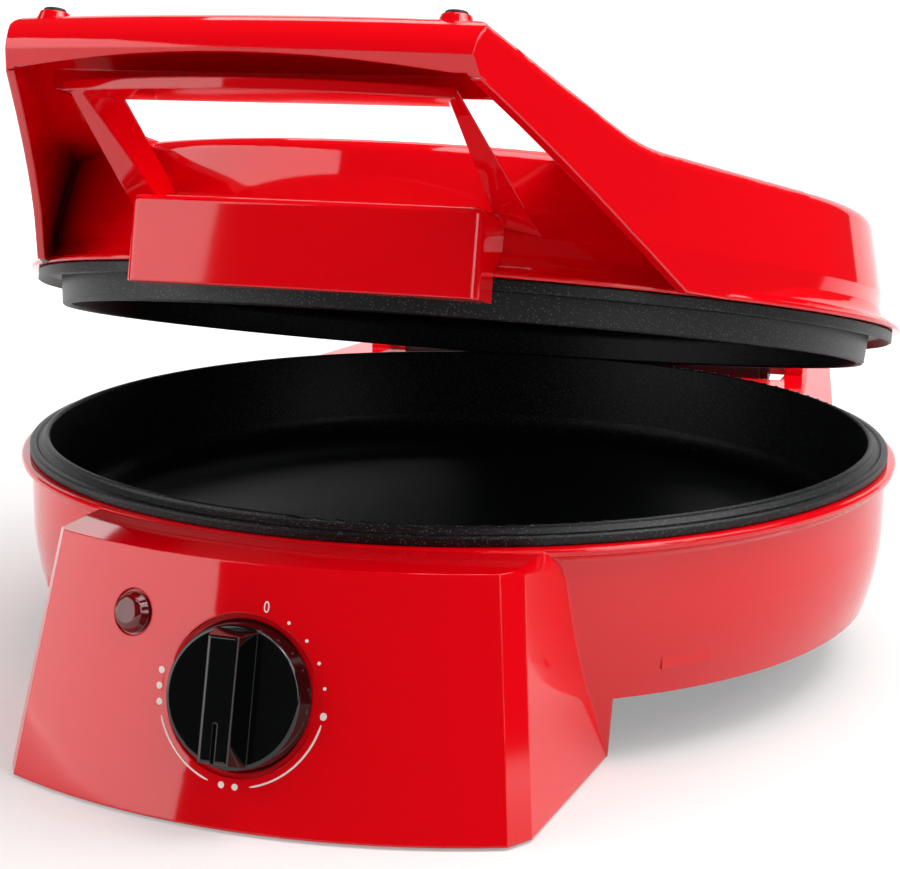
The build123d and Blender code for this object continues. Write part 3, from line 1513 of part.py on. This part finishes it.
standing = {
    "base_shell": base_shell,
    "bottom_cover": bottom_cover,
    "front_foot_cover": front_foot_cover,
    "rear_foot_cover": rear_foot_cover,
    "rubber_feet": rubber_feet,
    "cover_screws": cover_screws,
    "lower_pan": lower_pan,
    "lower_heating_element": lower_heating_element,
    "lower_heat_shield": lower_heat_shield,
    "pan_clamps": pan_clamps,
    "pan_screws": pan_screws,
    "thermostat_body": thermostat_body,
    "thermostat_bracket": thermostat_bracket,
    "thermostat_screws": thermostat_screws,
    "lamp_lens": lamp_lens,
    "lamp_body": lamp_body,
    "lamp_retainer": lamp_retainer,
    "terminal_block": terminal_block,
    "thermal_fuse": thermal_fuse,
    "cord_gland": cord_gland,
    "cord_clamp": cord_clamp,
    "hinge_pins": hinge_pins,
    "control_knob": control_knob,
    "thermostat_shaft": thermostat_shaft,
    "knob_clip": knob_clip,
}
lid_pieces = {
    "lid_shell": lid_shell,
    "handle_insert": handle_insert,
    "insert_screws": insert_screws,
    "stud_tips": stud_tips,
    "lid_plate": lid_plate,
    "upper_heating_element": upper_heating_element,
    "lid_heat_shield": lid_heat_shield,
    "lid_plate_clips": lid_plate_clips,
    "lid_plate_screws": lid_plate_screws,
    "hinge_bracket": hinge_bracket,
    "hinge_bracket_screws": hinge_bracket_screws,
    "hinge_bushes": hinge_bushes,
}
for name, piece in standing.items():
    piece.part.label = name
    export_step(piece.part, "parts/" + name + ".step")
for name, piece in lid_pieces.items():
    export_step(opened(piece.part, name), "parts/" + name + ".step")
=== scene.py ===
# %% [markdown]
# # A countertop pizza maker, dressed over its CAD parts
# The CAD model gives every piece its place and size. This lesson gives the pieces the finish of
# the real ones: glossy red moulding, speckled non-stick coating, a black knob with polished
# edges, and the printed dial. It starts by loading the CAD parts as a frame and keeping their box.

# %% Load the frame
import math

import bmesh
import bpy
from mathutils import Matrix, Vector


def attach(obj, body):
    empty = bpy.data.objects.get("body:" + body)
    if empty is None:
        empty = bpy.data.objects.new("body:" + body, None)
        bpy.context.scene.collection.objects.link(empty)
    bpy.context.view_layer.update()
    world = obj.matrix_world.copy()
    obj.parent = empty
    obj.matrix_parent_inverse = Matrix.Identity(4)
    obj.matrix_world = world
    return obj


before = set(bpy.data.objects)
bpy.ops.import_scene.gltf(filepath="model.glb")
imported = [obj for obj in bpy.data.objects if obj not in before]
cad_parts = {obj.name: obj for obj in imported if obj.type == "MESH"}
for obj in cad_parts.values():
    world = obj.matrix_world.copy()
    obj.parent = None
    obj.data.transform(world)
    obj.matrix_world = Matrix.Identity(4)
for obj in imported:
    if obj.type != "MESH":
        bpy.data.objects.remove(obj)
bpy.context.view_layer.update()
MM = 0.001

# %% [markdown]
# ## The camera
# The photo was taken from close by, a little to the right of the front and a little above. The
# camera's distance decides how strongly near edges grow, so it is placed first. Its turn is
# written as two angles about the pan's centre and a small roll, which are easy to check.

# %% Camera at the photo's viewpoint
PHOTO_WIDTH = 900
SENSOR_WIDTH = 36.0
FOCAL_PIXELS = 1833.1
VIEW_AZIMUTH = 0.312807
VIEW_ELEVATION = 0.205545
VIEW_ROLL = 0.010576
VIEW_DISTANCE = 0.68290
VIEW_TARGET = Vector((0.0, 0.0, 0.0774))

towards_camera = Vector(
    (
        math.cos(VIEW_ELEVATION) * math.sin(VIEW_AZIMUTH),
        -math.cos(VIEW_ELEVATION) * math.cos(VIEW_AZIMUTH),
        math.sin(VIEW_ELEVATION),
    )
)
view_right = Vector((math.cos(VIEW_AZIMUTH), math.sin(VIEW_AZIMUTH), 0.0))
view_up = view_right.cross(-towards_camera)
rolled_right = view_right * math.cos(VIEW_ROLL) + view_up * math.sin(VIEW_ROLL)
rolled_up = view_up * math.cos(VIEW_ROLL) - view_right * math.sin(VIEW_ROLL)

camera_data = bpy.data.cameras.new("photo_camera")
camera_data.sensor_fit = "HORIZONTAL"
camera_data.sensor_width = SENSOR_WIDTH
camera_data.lens = FOCAL_PIXELS / PHOTO_WIDTH * SENSOR_WIDTH
camera_data.shift_x = -0.01012
camera_data.shift_y = -0.01723
camera_data.clip_start = 0.01
camera_data.clip_end = 100.0
camera = bpy.data.objects.new("photo_camera", camera_data)
bpy.context.scene.collection.objects.link(camera)
turn = Matrix((rolled_right, rolled_up, towards_camera)).transposed()
camera_place = VIEW_TARGET + towards_camera * VIEW_DISTANCE
camera.matrix_world = Matrix.Translation(camera_place) @ turn.to_4x4()
bpy.context.scene.camera = camera
bpy.context.scene.view_settings.view_transform = "Standard"
print("camera stands at", [round(v, 3) for v in camera_place])

# %% [markdown]
# ## Colours and nodes
# Colours are written as the hex values that a picture editor shows. Blender's shaders work in
# linear light, so one function turns them. Materials are small graphs, and one more function
# adds a node, sets its sockets and joins its links, so that each material reads as a list.


# %% Helpers for colours and shader nodes
def colour(hex_text):
    """Linear colour with alpha from an sRGB hex value."""
    channels = [int(hex_text[i : i + 2], 16) / 255 for i in (1, 3, 5)]
    linear = [c / 12.92 if c <= 0.04045 else ((c + 0.055) / 1.055) ** 2.4 for c in channels]
    return (*linear, 1.0)


def add_node(tree, kind, settings=None, links=None, **properties):
    """Add a node, set its properties and sockets, and join the sockets named in links."""
    node = tree.nodes.new(kind)
    for name, value in properties.items():
        setattr(node, name, value)
    for name, value in (settings or {}).items():
        node.inputs[name].default_value = value
    for name, source in (links or {}).items():
        tree.links.new(source, node.inputs[name])
    return node


def new_material(name):
    """An empty node material and its tree."""
    material = bpy.data.materials.new(name)
    material.use_nodes = True
    material.node_tree.nodes.clear()
    return material, material.node_tree


def finish_material(tree, shader):
    """Send a shader to the surface output."""
    add_node(tree, "ShaderNodeOutputMaterial", links={"Surface": shader})


MOULDED_RED = "#E4000F"
print("linear red of the moulding:", [round(v, 3) for v in colour(MOULDED_RED)])

# %% [markdown]
# ## Glossy red ABS
# The body is injection-moulded ABS with a polished tool surface, so it is a deep red under a
# clear gloss. A real mould rounds every edge by a fraction of a millimetre and leaves a very
# faint waviness. The Bevel node gives the rounded edges and a weak, broad bump the waviness.


# %% Material: polished red ABS
def polished_abs(name, base, roughness, edge_mm, wave_mm, wave_strength):
    material, tree = new_material(name)
    place = add_node(tree, "ShaderNodeTexCoord").outputs["Object"]
    waves = add_node(
        tree,
        "ShaderNodeTexNoise",
        {"Scale": 1.0 / (wave_mm * MM), "Detail": 1.0, "Roughness": 0.4},
        {"Vector": place},
    )
    edges = add_node(tree, "ShaderNodeBevel", {"Radius": edge_mm * MM}, samples=6)
    bump = add_node(
        tree,
        "ShaderNodeBump",
        {"Strength": wave_strength, "Distance": 0.1 * MM},
        {"Height": waves.outputs["Fac"], "Normal": edges.outputs["Normal"]},
    )
    smears = add_node(
        tree,
        "ShaderNodeTexNoise",
        {"Scale": 1.0 / (40.0 * MM), "Detail": 3.0},
        {"Vector": place},
    )
    gloss = add_node(
        tree,
        "ShaderNodeMapRange",
        {"To Min": roughness * 0.7, "To Max": roughness * 1.4},
        {"Value": smears.outputs["Fac"]},
    )
    surface = add_node(
        tree,
        "ShaderNodeBsdfPrincipled",
        {"Base Color": colour(base), "IOR": 1.53},
        {"Roughness": gloss.outputs["Result"], "Normal": bump.outputs["Normal"]},
    )
    finish_material(tree, surface.outputs["BSDF"])
    return material


red_abs = polished_abs("polished_red_abs", MOULDED_RED, 0.05, 0.8, 22.0, 0.05)
knob_abs = polished_abs("polished_black_abs", "#050606", 0.05, 0.5, 14.0, 0.03)
print("made", red_abs.name, "and", knob_abs.name)

# %% [markdown]
# ## Non-stick coating on cast aluminium
# The pan and the lid's plate are die-cast and sprayed with a black PTFE coating full of pale
# mineral flecks. The spray leaves a fine grain of about half a millimetre. The flecks are drawn
# from a cell pattern, a little coarser than real so that they show, and the grain is a fine bump.


# %% Material: speckled PTFE coating
def speckled_coating(name, base, fleck, fleck_mm, grain_mm, roughness):
    material, tree = new_material(name)
    place = add_node(tree, "ShaderNodeTexCoord").outputs["Object"]
    cells = add_node(
        tree,
        "ShaderNodeTexVoronoi",
        {"Scale": 1.0 / (fleck_mm * MM)},
        {"Vector": place},
        feature="F1",
    )
    fleck_mask = add_node(
        tree,
        "ShaderNodeMapRange",
        {"From Min": 0.30, "From Max": 0.12, "To Min": 0.0, "To Max": 1.0},
        {"Value": cells.outputs["Distance"]},
    )
    tone = add_node(
        tree,
        "ShaderNodeMix",
        {"A": colour(base), "B": colour(fleck)},
        {"Factor": fleck_mask.outputs["Result"]},
        data_type="RGBA",
    )
    grain = add_node(
        tree,
        "ShaderNodeTexNoise",
        {"Scale": 1.0 / (grain_mm * MM), "Detail": 2.0},
        {"Vector": place},
    )
    edges = add_node(tree, "ShaderNodeBevel", {"Radius": 0.6 * MM}, samples=4)
    bump = add_node(
        tree,
        "ShaderNodeBump",
        {"Strength": 0.35, "Distance": 0.12 * MM},
        {"Height": grain.outputs["Fac"], "Normal": edges.outputs["Normal"]},
    )
    surface = add_node(
        tree,
        "ShaderNodeBsdfPrincipled",
        {"Roughness": roughness, "IOR": 1.35},
        {"Base Color": tone.outputs["Result"], "Normal": bump.outputs["Normal"]},
    )
    finish_material(tree, surface.outputs["BSDF"])
    return material


coating = speckled_coating("speckled_ptfe_coating", "#0B0C0D", "#4E595C", 0.9, 0.5, 0.42)
print("made", coating.name)

# %% [markdown]
# ## The plainer finishes
# Hidden and small parts still have a finish: grained black polypropylene, soft rubber, zinc
# plate, rolled sheet and a darkened element tube. One function makes them, because they differ
# only in tone, metalness, roughness and the size of their grain.


# %% Materials: grained plastics, rubber and metals
def grained(name, dark, light, metallic, roughness, grain_mm, strength):
    material, tree = new_material(name)
    place = add_node(tree, "ShaderNodeTexCoord").outputs["Object"]
    grain = add_node(
        tree,
        "ShaderNodeTexNoise",
        {"Scale": 1.0 / (grain_mm * MM), "Detail": 3.0},
        {"Vector": place},
    )
    tone = add_node(
        tree,
        "ShaderNodeMix",
        {"A": colour(dark), "B": colour(light)},
        {"Factor": grain.outputs["Fac"]},
        data_type="RGBA",
    )
    edges = add_node(tree, "ShaderNodeBevel", {"Radius": 0.4 * MM}, samples=4)
    bump = add_node(
        tree,
        "ShaderNodeBump",
        {"Strength": strength, "Distance": 0.1 * MM},
        {"Height": grain.outputs["Fac"], "Normal": edges.outputs["Normal"]},
    )
    surface = add_node(
        tree,
        "ShaderNodeBsdfPrincipled",
        {"Roughness": roughness, "Metallic": metallic},
        {"Base Color": tone.outputs["Result"], "Normal": bump.outputs["Normal"]},
    )
    finish_material(tree, surface.outputs["BSDF"])
    return material


black_pp = grained("grained_black_polypropylene", "#121213", "#1C1C1D", 0.0, 0.45, 0.8, 0.3)
nylon = grained("black_nylon", "#141414", "#1E1E1E", 0.0, 0.35, 1.0, 0.15)
rubber = grained("black_rubber", "#101010", "#191919", 0.0, 0.6, 0.5, 0.3)
zinc = grained("zinc_plated_steel", "#9FA2A3", "#B9BCBC", 1.0, 0.3, 0.6, 0.1)
spring = grained("bright_spring_steel", "#A9ABAC", "#C3C5C5", 1.0, 0.22, 0.5, 0.08)
tube = grained("darkened_element_tube", "#4E4843", "#67605A", 1.0, 0.42, 1.2, 0.15)
sheet = grained("rolled_aluminium_sheet", "#B4B7B9", "#C9CBCC", 1.0, 0.34, 3.0, 0.06)
ceramic = grained("off_white_ceramic", "#D8D4C8", "#E4E0D5", 0.0, 0.4, 1.5, 0.1)


# %% [markdown]
# ## Lamp lens and print
# The lamp's lens is transparent dark red polycarbonate. The dial is pad-printed in a warm white
# ink, which lies a few hundredths of a millimetre proud and is slightly matt.


# %% Materials: lens, lamp glass and ink
def clear_lens(name, tint, roughness, transmission):
    material, tree = new_material(name)
    surface = add_node(
        tree,
        "ShaderNodeBsdfPrincipled",
        {
            "Base Color": colour(tint),
            "Roughness": roughness,
            "IOR": 1.58,
            "Transmission Weight": transmission,
        },
    )
    finish_material(tree, surface.outputs["BSDF"])
    return material


lens_red = clear_lens("dark_red_polycarbonate", "#8C0A10", 0.04, 0.55)
lamp_glass = clear_lens("neon_lamp_glass", "#E8B49C", 0.08, 0.4)
ink = grained("white_print", "#F3E2DA", "#F8EAE2", 0.0, 0.5, 0.6, 0.05)

# %% Give the CAD nodes their finish
finishes = {
    "base_shell": red_abs,
    "lid_shell": red_abs,
    "handle_insert": red_abs,
    "lower_pan": coating,
    "lid_plate": coating,
    "bottom_cover": black_pp,
    "front_foot_cover": black_pp,
    "rear_foot_cover": black_pp,
    "hinge_bracket": black_pp,
    "cord_gland": black_pp,
    "cord_clamp": black_pp,
    "control_knob": knob_abs,
    "hinge_bushes": nylon,
    "terminal_block": nylon,
    "lamp_retainer": nylon,
    "rubber_feet": rubber,
    "stud_tips": rubber,
    "lamp_lens": lens_red,
    "lamp_body": lamp_glass,
    "thermostat_body": ceramic,
    "thermal_fuse": ceramic,
    "lower_heating_element": tube,
    "upper_heating_element": tube,
    "lower_heat_shield": sheet,
    "lid_heat_shield": sheet,
    "pan_clamps": spring,
    "lid_plate_clips": spring,
    "knob_clip": spring,
    "thermostat_bracket": spring,
    "thermostat_shaft": spring,
    "hinge_pins": spring,
}
for name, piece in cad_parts.items():
    material = finishes.get(name, zinc)
    for slot in piece.material_slots:
        slot.material = material
print("finished", len(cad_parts), "CAD nodes")

# %% [markdown]
# ## The printed dial
# The dial is printed round the knob on a panel that is curved from side to side and leans back.
# Each mark is drawn flat first, with the knob's centre as its origin, and then laid on the
# panel. The panel is a ruled surface between two arcs, so a point on it needs only its side
# offset and its height.

# %% The panel's surface
# Foot and head each hold the half width, the reach at the sides and the reach at the middle.
PANEL_TOP = 73.0
PANEL_FOOT = (76.6, 190.3, 205.7)
PANEL_HEAD = (67.7, 171.0, 187.0)
KNOB_HEIGHT = 37.2
PANEL_LEAN = math.atan((PANEL_FOOT[2] - PANEL_HEAD[2]) / PANEL_TOP)


def panel_reach(side, height):
    """How far the panel stands in front of the pan's axis, in mm, at a side offset and height."""
    share = height / PANEL_TOP
    half, edge, middle = (a + (b - a) * share for a, b in zip(PANEL_FOOT, PANEL_HEAD))
    bow = middle - edge
    radius = (half * half + bow * bow) / (2 * bow)
    return middle - radius + math.sqrt(radius * radius - side * side)


def on_panel(across, up, lift=0.06):
    """A flat dial place, in mm from the knob's centre, laid on the panel, in metres."""
    height = KNOB_HEIGHT + up * math.cos(PANEL_LEAN)
    forward = panel_reach(across, height) + lift * math.cos(PANEL_LEAN)
    return Vector((across, -forward, height + lift * math.sin(PANEL_LEAN))) * MM


print("panel leans", round(math.degrees(PANEL_LEAN), 2), "degrees")


# %% [markdown]
# A ring of equal dots is a repeat, so Geometry Nodes makes it: an arc gives the places, and a
# small filled circle is set on each. The tree has named inputs for the arc and the dots.


# %% Geometry Nodes: dots on an arc
def dot_ring_tree():
    tree = bpy.data.node_groups.new("dot_ring", "GeometryNodeTree")
    face = tree.interface
    face.new_socket("Geometry", in_out="INPUT", socket_type="NodeSocketGeometry")
    for name, kind in (
        ("Ring Radius", "NodeSocketFloat"),
        ("Start Angle", "NodeSocketFloat"),
        ("Sweep Angle", "NodeSocketFloat"),
        ("Dots", "NodeSocketInt"),
        ("Dot Radius", "NodeSocketFloat"),
        ("Ink", "NodeSocketMaterial"),
    ):
        face.new_socket(name, in_out="INPUT", socket_type=kind)
    face.new_socket("Geometry", in_out="OUTPUT", socket_type="NodeSocketGeometry")
    given = add_node(tree, "NodeGroupInput").outputs
    arc = add_node(
        tree,
        "GeometryNodeCurveArc",
        links={
            "Resolution": given["Dots"],
            "Radius": given["Ring Radius"],
            "Start Angle": given["Start Angle"],
            "Sweep Angle": given["Sweep Angle"],
        },
    )
    places = add_node(
        tree,
        "GeometryNodeCurveToPoints",
        links={"Curve": arc.outputs["Curve"]},
        mode="EVALUATED",
    )
    dot = add_node(
        tree,
        "GeometryNodeMeshCircle",
        {"Vertices": 20},
        {"Radius": given["Dot Radius"]},
        fill_type="NGON",
    )
    dots = add_node(
        tree,
        "GeometryNodeInstanceOnPoints",
        links={"Points": places.outputs["Points"], "Instance": dot.outputs["Mesh"]},
    )
    solid = add_node(
        tree,
        "GeometryNodeRealizeInstances",
        links={"Geometry": dots.outputs["Instances"]},
    )
    inked = add_node(
        tree,
        "GeometryNodeSetMaterial",
        links={"Geometry": solid.outputs["Geometry"], "Material": given["Ink"]},
    )
    add_node(tree, "NodeGroupOutput", links={"Geometry": inked.outputs["Geometry"]})
    return tree


dot_tree = dot_ring_tree()


def made_by_tree(name, tree, **inputs):
    """Run a Geometry Nodes tree on an empty mesh and return the result as a plain mesh."""
    helper = bpy.data.objects.new(name, bpy.data.meshes.new(name))
    bpy.context.scene.collection.objects.link(helper)
    modifier = helper.modifiers.new("tree", "NODES")
    modifier.node_group = tree
    for item in tree.interface.items_tree:
        if item.item_type == "SOCKET" and item.in_out == "INPUT" and item.name in inputs:
            modifier[item.identifier] = inputs[item.name]
    bpy.context.view_layer.update()
    ready = helper.evaluated_get(bpy.context.evaluated_depsgraph_get())
    mesh = bpy.data.meshes.new_from_object(ready)
    bpy.data.objects.remove(helper)
    return mesh


# %% Dots, arcs and the nought, laid on the panel
def piece_from_mesh(name, mesh, material, body):
    """Link a mesh as an object with one material, riding on a CAD body."""
    mesh.name = name
    mesh.materials.clear()
    mesh.materials.append(material)
    for polygon in mesh.polygons:
        polygon.use_smooth = True
        polygon.material_index = 0
    piece = bpy.data.objects.new(name, mesh)
    bpy.context.scene.collection.objects.link(piece)
    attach(piece, body)
    return piece


def dial_angle(clockwise):
    """Angle of a dial place, clockwise from the top in degrees, as the usual angle in radians."""
    return math.radians(90.0 - clockwise)


def lay_on_panel(mesh):
    """Move a flat mesh, in mm from the knob's centre, to its place on the panel."""
    for vertex in mesh.vertices:
        vertex.co = on_panel(vertex.co.x, vertex.co.y)
    return mesh


# Each set is a name, ring radius, first and last angle, number of dots and radius of a dot.
DOT_SETS = (
    ("fine_dots", 25.0, 31.0, 80.2, 4, 0.5),
    ("start_dot", 25.2, 97.4, 98.0, 2, 0.94),
    ("lower_dots", 25.1, 177.0, 186.5, 2, 0.94),
    ("left_dots", 25.2, 258.6, 278.9, 3, 0.98),
)
for name, radius, first, last, count, dot in DOT_SETS:
    mesh = made_by_tree(
        name,
        dot_tree,
        **{
            "Ring Radius": radius,
            "Start Angle": dial_angle(first),
            "Sweep Angle": math.radians(first - last),
            "Dots": count,
            "Dot Radius": dot,
            "Ink": ink,
        },
    )
    piece_from_mesh("dial_" + name, lay_on_panel(mesh), ink, "base")


def arc_band(name, radius, first, last, width):
    """A printed arc as a strip of faces whose ends taper."""
    mesh = bmesh.new()
    steps = max(8, int(abs(last - first) / 2))
    rows = []
    for i in range(steps + 1):
        share = i / steps
        angle = dial_angle(first + (last - first) * share)
        half = width / 2 * min(1.0, 0.4 + 12.0 * min(share, 1 - share))
        out = Vector((math.cos(angle), math.sin(angle), 0.0))
        rows.append([mesh.verts.new(out * (radius + offset)) for offset in (-half, half)])
    for low, high in zip(rows, rows[1:]):
        mesh.faces.new((low[0], high[0], high[1], low[1]))
    bmesh.ops.recalc_face_normals(mesh, faces=mesh.faces)
    data = bpy.data.meshes.new(name)
    mesh.to_mesh(data)
    mesh.free()
    return piece_from_mesh(name, lay_on_panel(data), ink, "base")


ARC_RADIUS = 25.2
ARC_WIDTH = 0.56
arc_band("dial_arc_right", ARC_RADIUS, 103.0, 167.0, ARC_WIDTH)
arc_band("dial_arc_left", ARC_RADIUS, 196.0, 250.0, ARC_WIDTH)

NOUGHT_SIZE = 4.6
NOUGHT_SQUEEZE = 0.8
NOUGHT_PLACE = (6.0, 25.1)
letter = bpy.data.curves.new("nought", "FONT")
letter.body = "0"
letter.size = NOUGHT_SIZE
letter.align_x = "CENTER"
letter.align_y = "CENTER"
letter_object = bpy.data.objects.new("nought", letter)
bpy.context.scene.collection.objects.link(letter_object)
bpy.context.view_layer.update()
ready_letter = letter_object.evaluated_get(bpy.context.evaluated_depsgraph_get())
nought_mesh = bpy.data.meshes.new_from_object(ready_letter)
bpy.data.objects.remove(letter_object)
for vertex in nought_mesh.vertices:
    vertex.co.x = vertex.co.x * NOUGHT_SQUEEZE + NOUGHT_PLACE[0]
    vertex.co.y += NOUGHT_PLACE[1]
piece_from_mesh("dial_nought", lay_on_panel(nought_mesh), ink, "base")

# %% [markdown]
# ## Table, backdrop and light
# The photo is a studio packshot: a white sweep of paper, a large soft light overhead, a big soft
# box at the left that shows as pale patches in the gloss, and narrower boxes at the right and
# behind that draw the thin streaks. The room around is dark, which keeps the red deep. The paper
# glows more and more away from the object, so it ends in white and keeps the contact shadow. Only
# the camera, glossy rays and rays through glass see the glow, so it shows in the gloss but adds
# nothing to the light that colours the object.


# %% The sweep of white paper
def white_paper(name, near_reach, far_reach, near_glow, far_glow):
    material, tree = new_material(name)
    place = add_node(tree, "ShaderNodeTexCoord").outputs["Object"]
    reach = add_node(tree, "ShaderNodeVectorMath", links={"Vector": place}, operation="LENGTH")
    glow = add_node(
        tree,
        "ShaderNodeMapRange",
        {"From Min": near_reach, "From Max": far_reach, "To Min": near_glow, "To Max": far_glow},
        {"Value": reach.outputs["Value"]},
    )
    rays = add_node(tree, "ShaderNodeLightPath")
    seen = add_node(
        tree,
        "ShaderNodeMath",
        links={0: rays.outputs["Is Camera Ray"], 1: rays.outputs["Is Glossy Ray"]},
        operation="ADD",
    )
    seen_through = add_node(
        tree,
        "ShaderNodeMath",
        links={0: seen.outputs["Value"], 1: rays.outputs["Is Transmission Ray"]},
        operation="ADD",
        use_clamp=True,
    )
    strength = add_node(
        tree,
        "ShaderNodeMath",
        links={0: seen_through.outputs["Value"], 1: glow.outputs["Result"]},
        operation="MULTIPLY",
    )
    surface = add_node(
        tree,
        "ShaderNodeBsdfPrincipled",
        {"Base Color": colour("#CBC9C8"), "Roughness": 0.6, "Emission Color": colour("#FFFFFF")},
        {"Emission Strength": strength.outputs["Value"]},
    )
    finish_material(tree, surface.outputs["BSDF"])
    return material


# The sweep's sizes are in metres. It is turned to face the camera.
SWEEP_HALF = 3.5
SWEEP_FRONT = -8.0
SWEEP_BEND = 2.2
SWEEP_RADIUS = 1.2
SWEEP_TOP = 2.2
SWEEP_STEPS = 16
profile = [(SWEEP_FRONT, 0.0), (SWEEP_BEND, 0.0)]
for step in range(1, SWEEP_STEPS + 1):
    angle = math.pi / 2 * step / SWEEP_STEPS
    height = SWEEP_RADIUS * (1 - math.cos(angle))
    profile.append((SWEEP_BEND + SWEEP_RADIUS * math.sin(angle), height))
profile.append((SWEEP_BEND + SWEEP_RADIUS, SWEEP_TOP))
sweep_mesh = bmesh.new()
rows = [[sweep_mesh.verts.new((side * SWEEP_HALF, y, z)) for side in (-1, 1)] for y, z in profile]
for low, high in zip(rows, rows[1:]):
    sweep_mesh.faces.new((low[0], low[1], high[1], high[0])).smooth = True
facing = Matrix.Rotation(VIEW_AZIMUTH, 3, "Z")
bmesh.ops.rotate(sweep_mesh, verts=sweep_mesh.verts, matrix=facing)
floor_data = bpy.data.meshes.new("paper_sweep")
sweep_mesh.to_mesh(floor_data)
sweep_mesh.free()
floor_data.materials.append(white_paper("white_paper", 0.3, 1.1, 0.3, 1.0))
floor = bpy.data.objects.new("paper_sweep", floor_data)
bpy.context.scene.collection.objects.link(floor)

# %% World and lamps
world = bpy.data.worlds.new("studio_air")
bpy.context.scene.world = world
world.use_nodes = True
world.node_tree.nodes.clear()
background = add_node(world.node_tree, "ShaderNodeBackground", {"Color": colour("#3F3F3F")})
add_node(
    world.node_tree,
    "ShaderNodeOutputWorld",
    links={"Surface": background.outputs["Background"]},
)


OBJECT_MIDDLE = 0.08


def soft_light(name, azimuth, elevation, distance, width, height, watts):
    """A soft box at a direction from the object, seen from above and counted from the front."""
    turn_out, lift = math.radians(azimuth), math.radians(elevation)
    level = math.cos(lift)
    away = Vector((level * math.sin(turn_out), -level * math.cos(turn_out), math.sin(lift)))
    data = bpy.data.lights.new(name, "AREA")
    data.shape = "RECTANGLE"
    data.size = width
    data.size_y = height
    data.energy = watts
    lamp = bpy.data.objects.new(name, data)
    lamp.location = away * distance + Vector((0.0, 0.0, OBJECT_MIDDLE))
    lamp.rotation_euler = away.to_track_quat("Z", "Y").to_euler()
    bpy.context.scene.collection.objects.link(lamp)


soft_light("overhead_box", 100.0, 72.0, 1.7, 1.3, 1.3, 25.0)
soft_light("left_box", -55.0, 20.0, 2.0, 1.9, 2.0, 31.0)
soft_light("right_strip", 61.0, 23.0, 2.0, 0.6, 1.4, 9.5)
soft_light("right_box", 95.0, 45.0, 2.0, 1.2, 1.2, 18.0)
soft_light("back_strip", 180.0, 52.0, 2.0, 2.0, 0.5, 8.0)
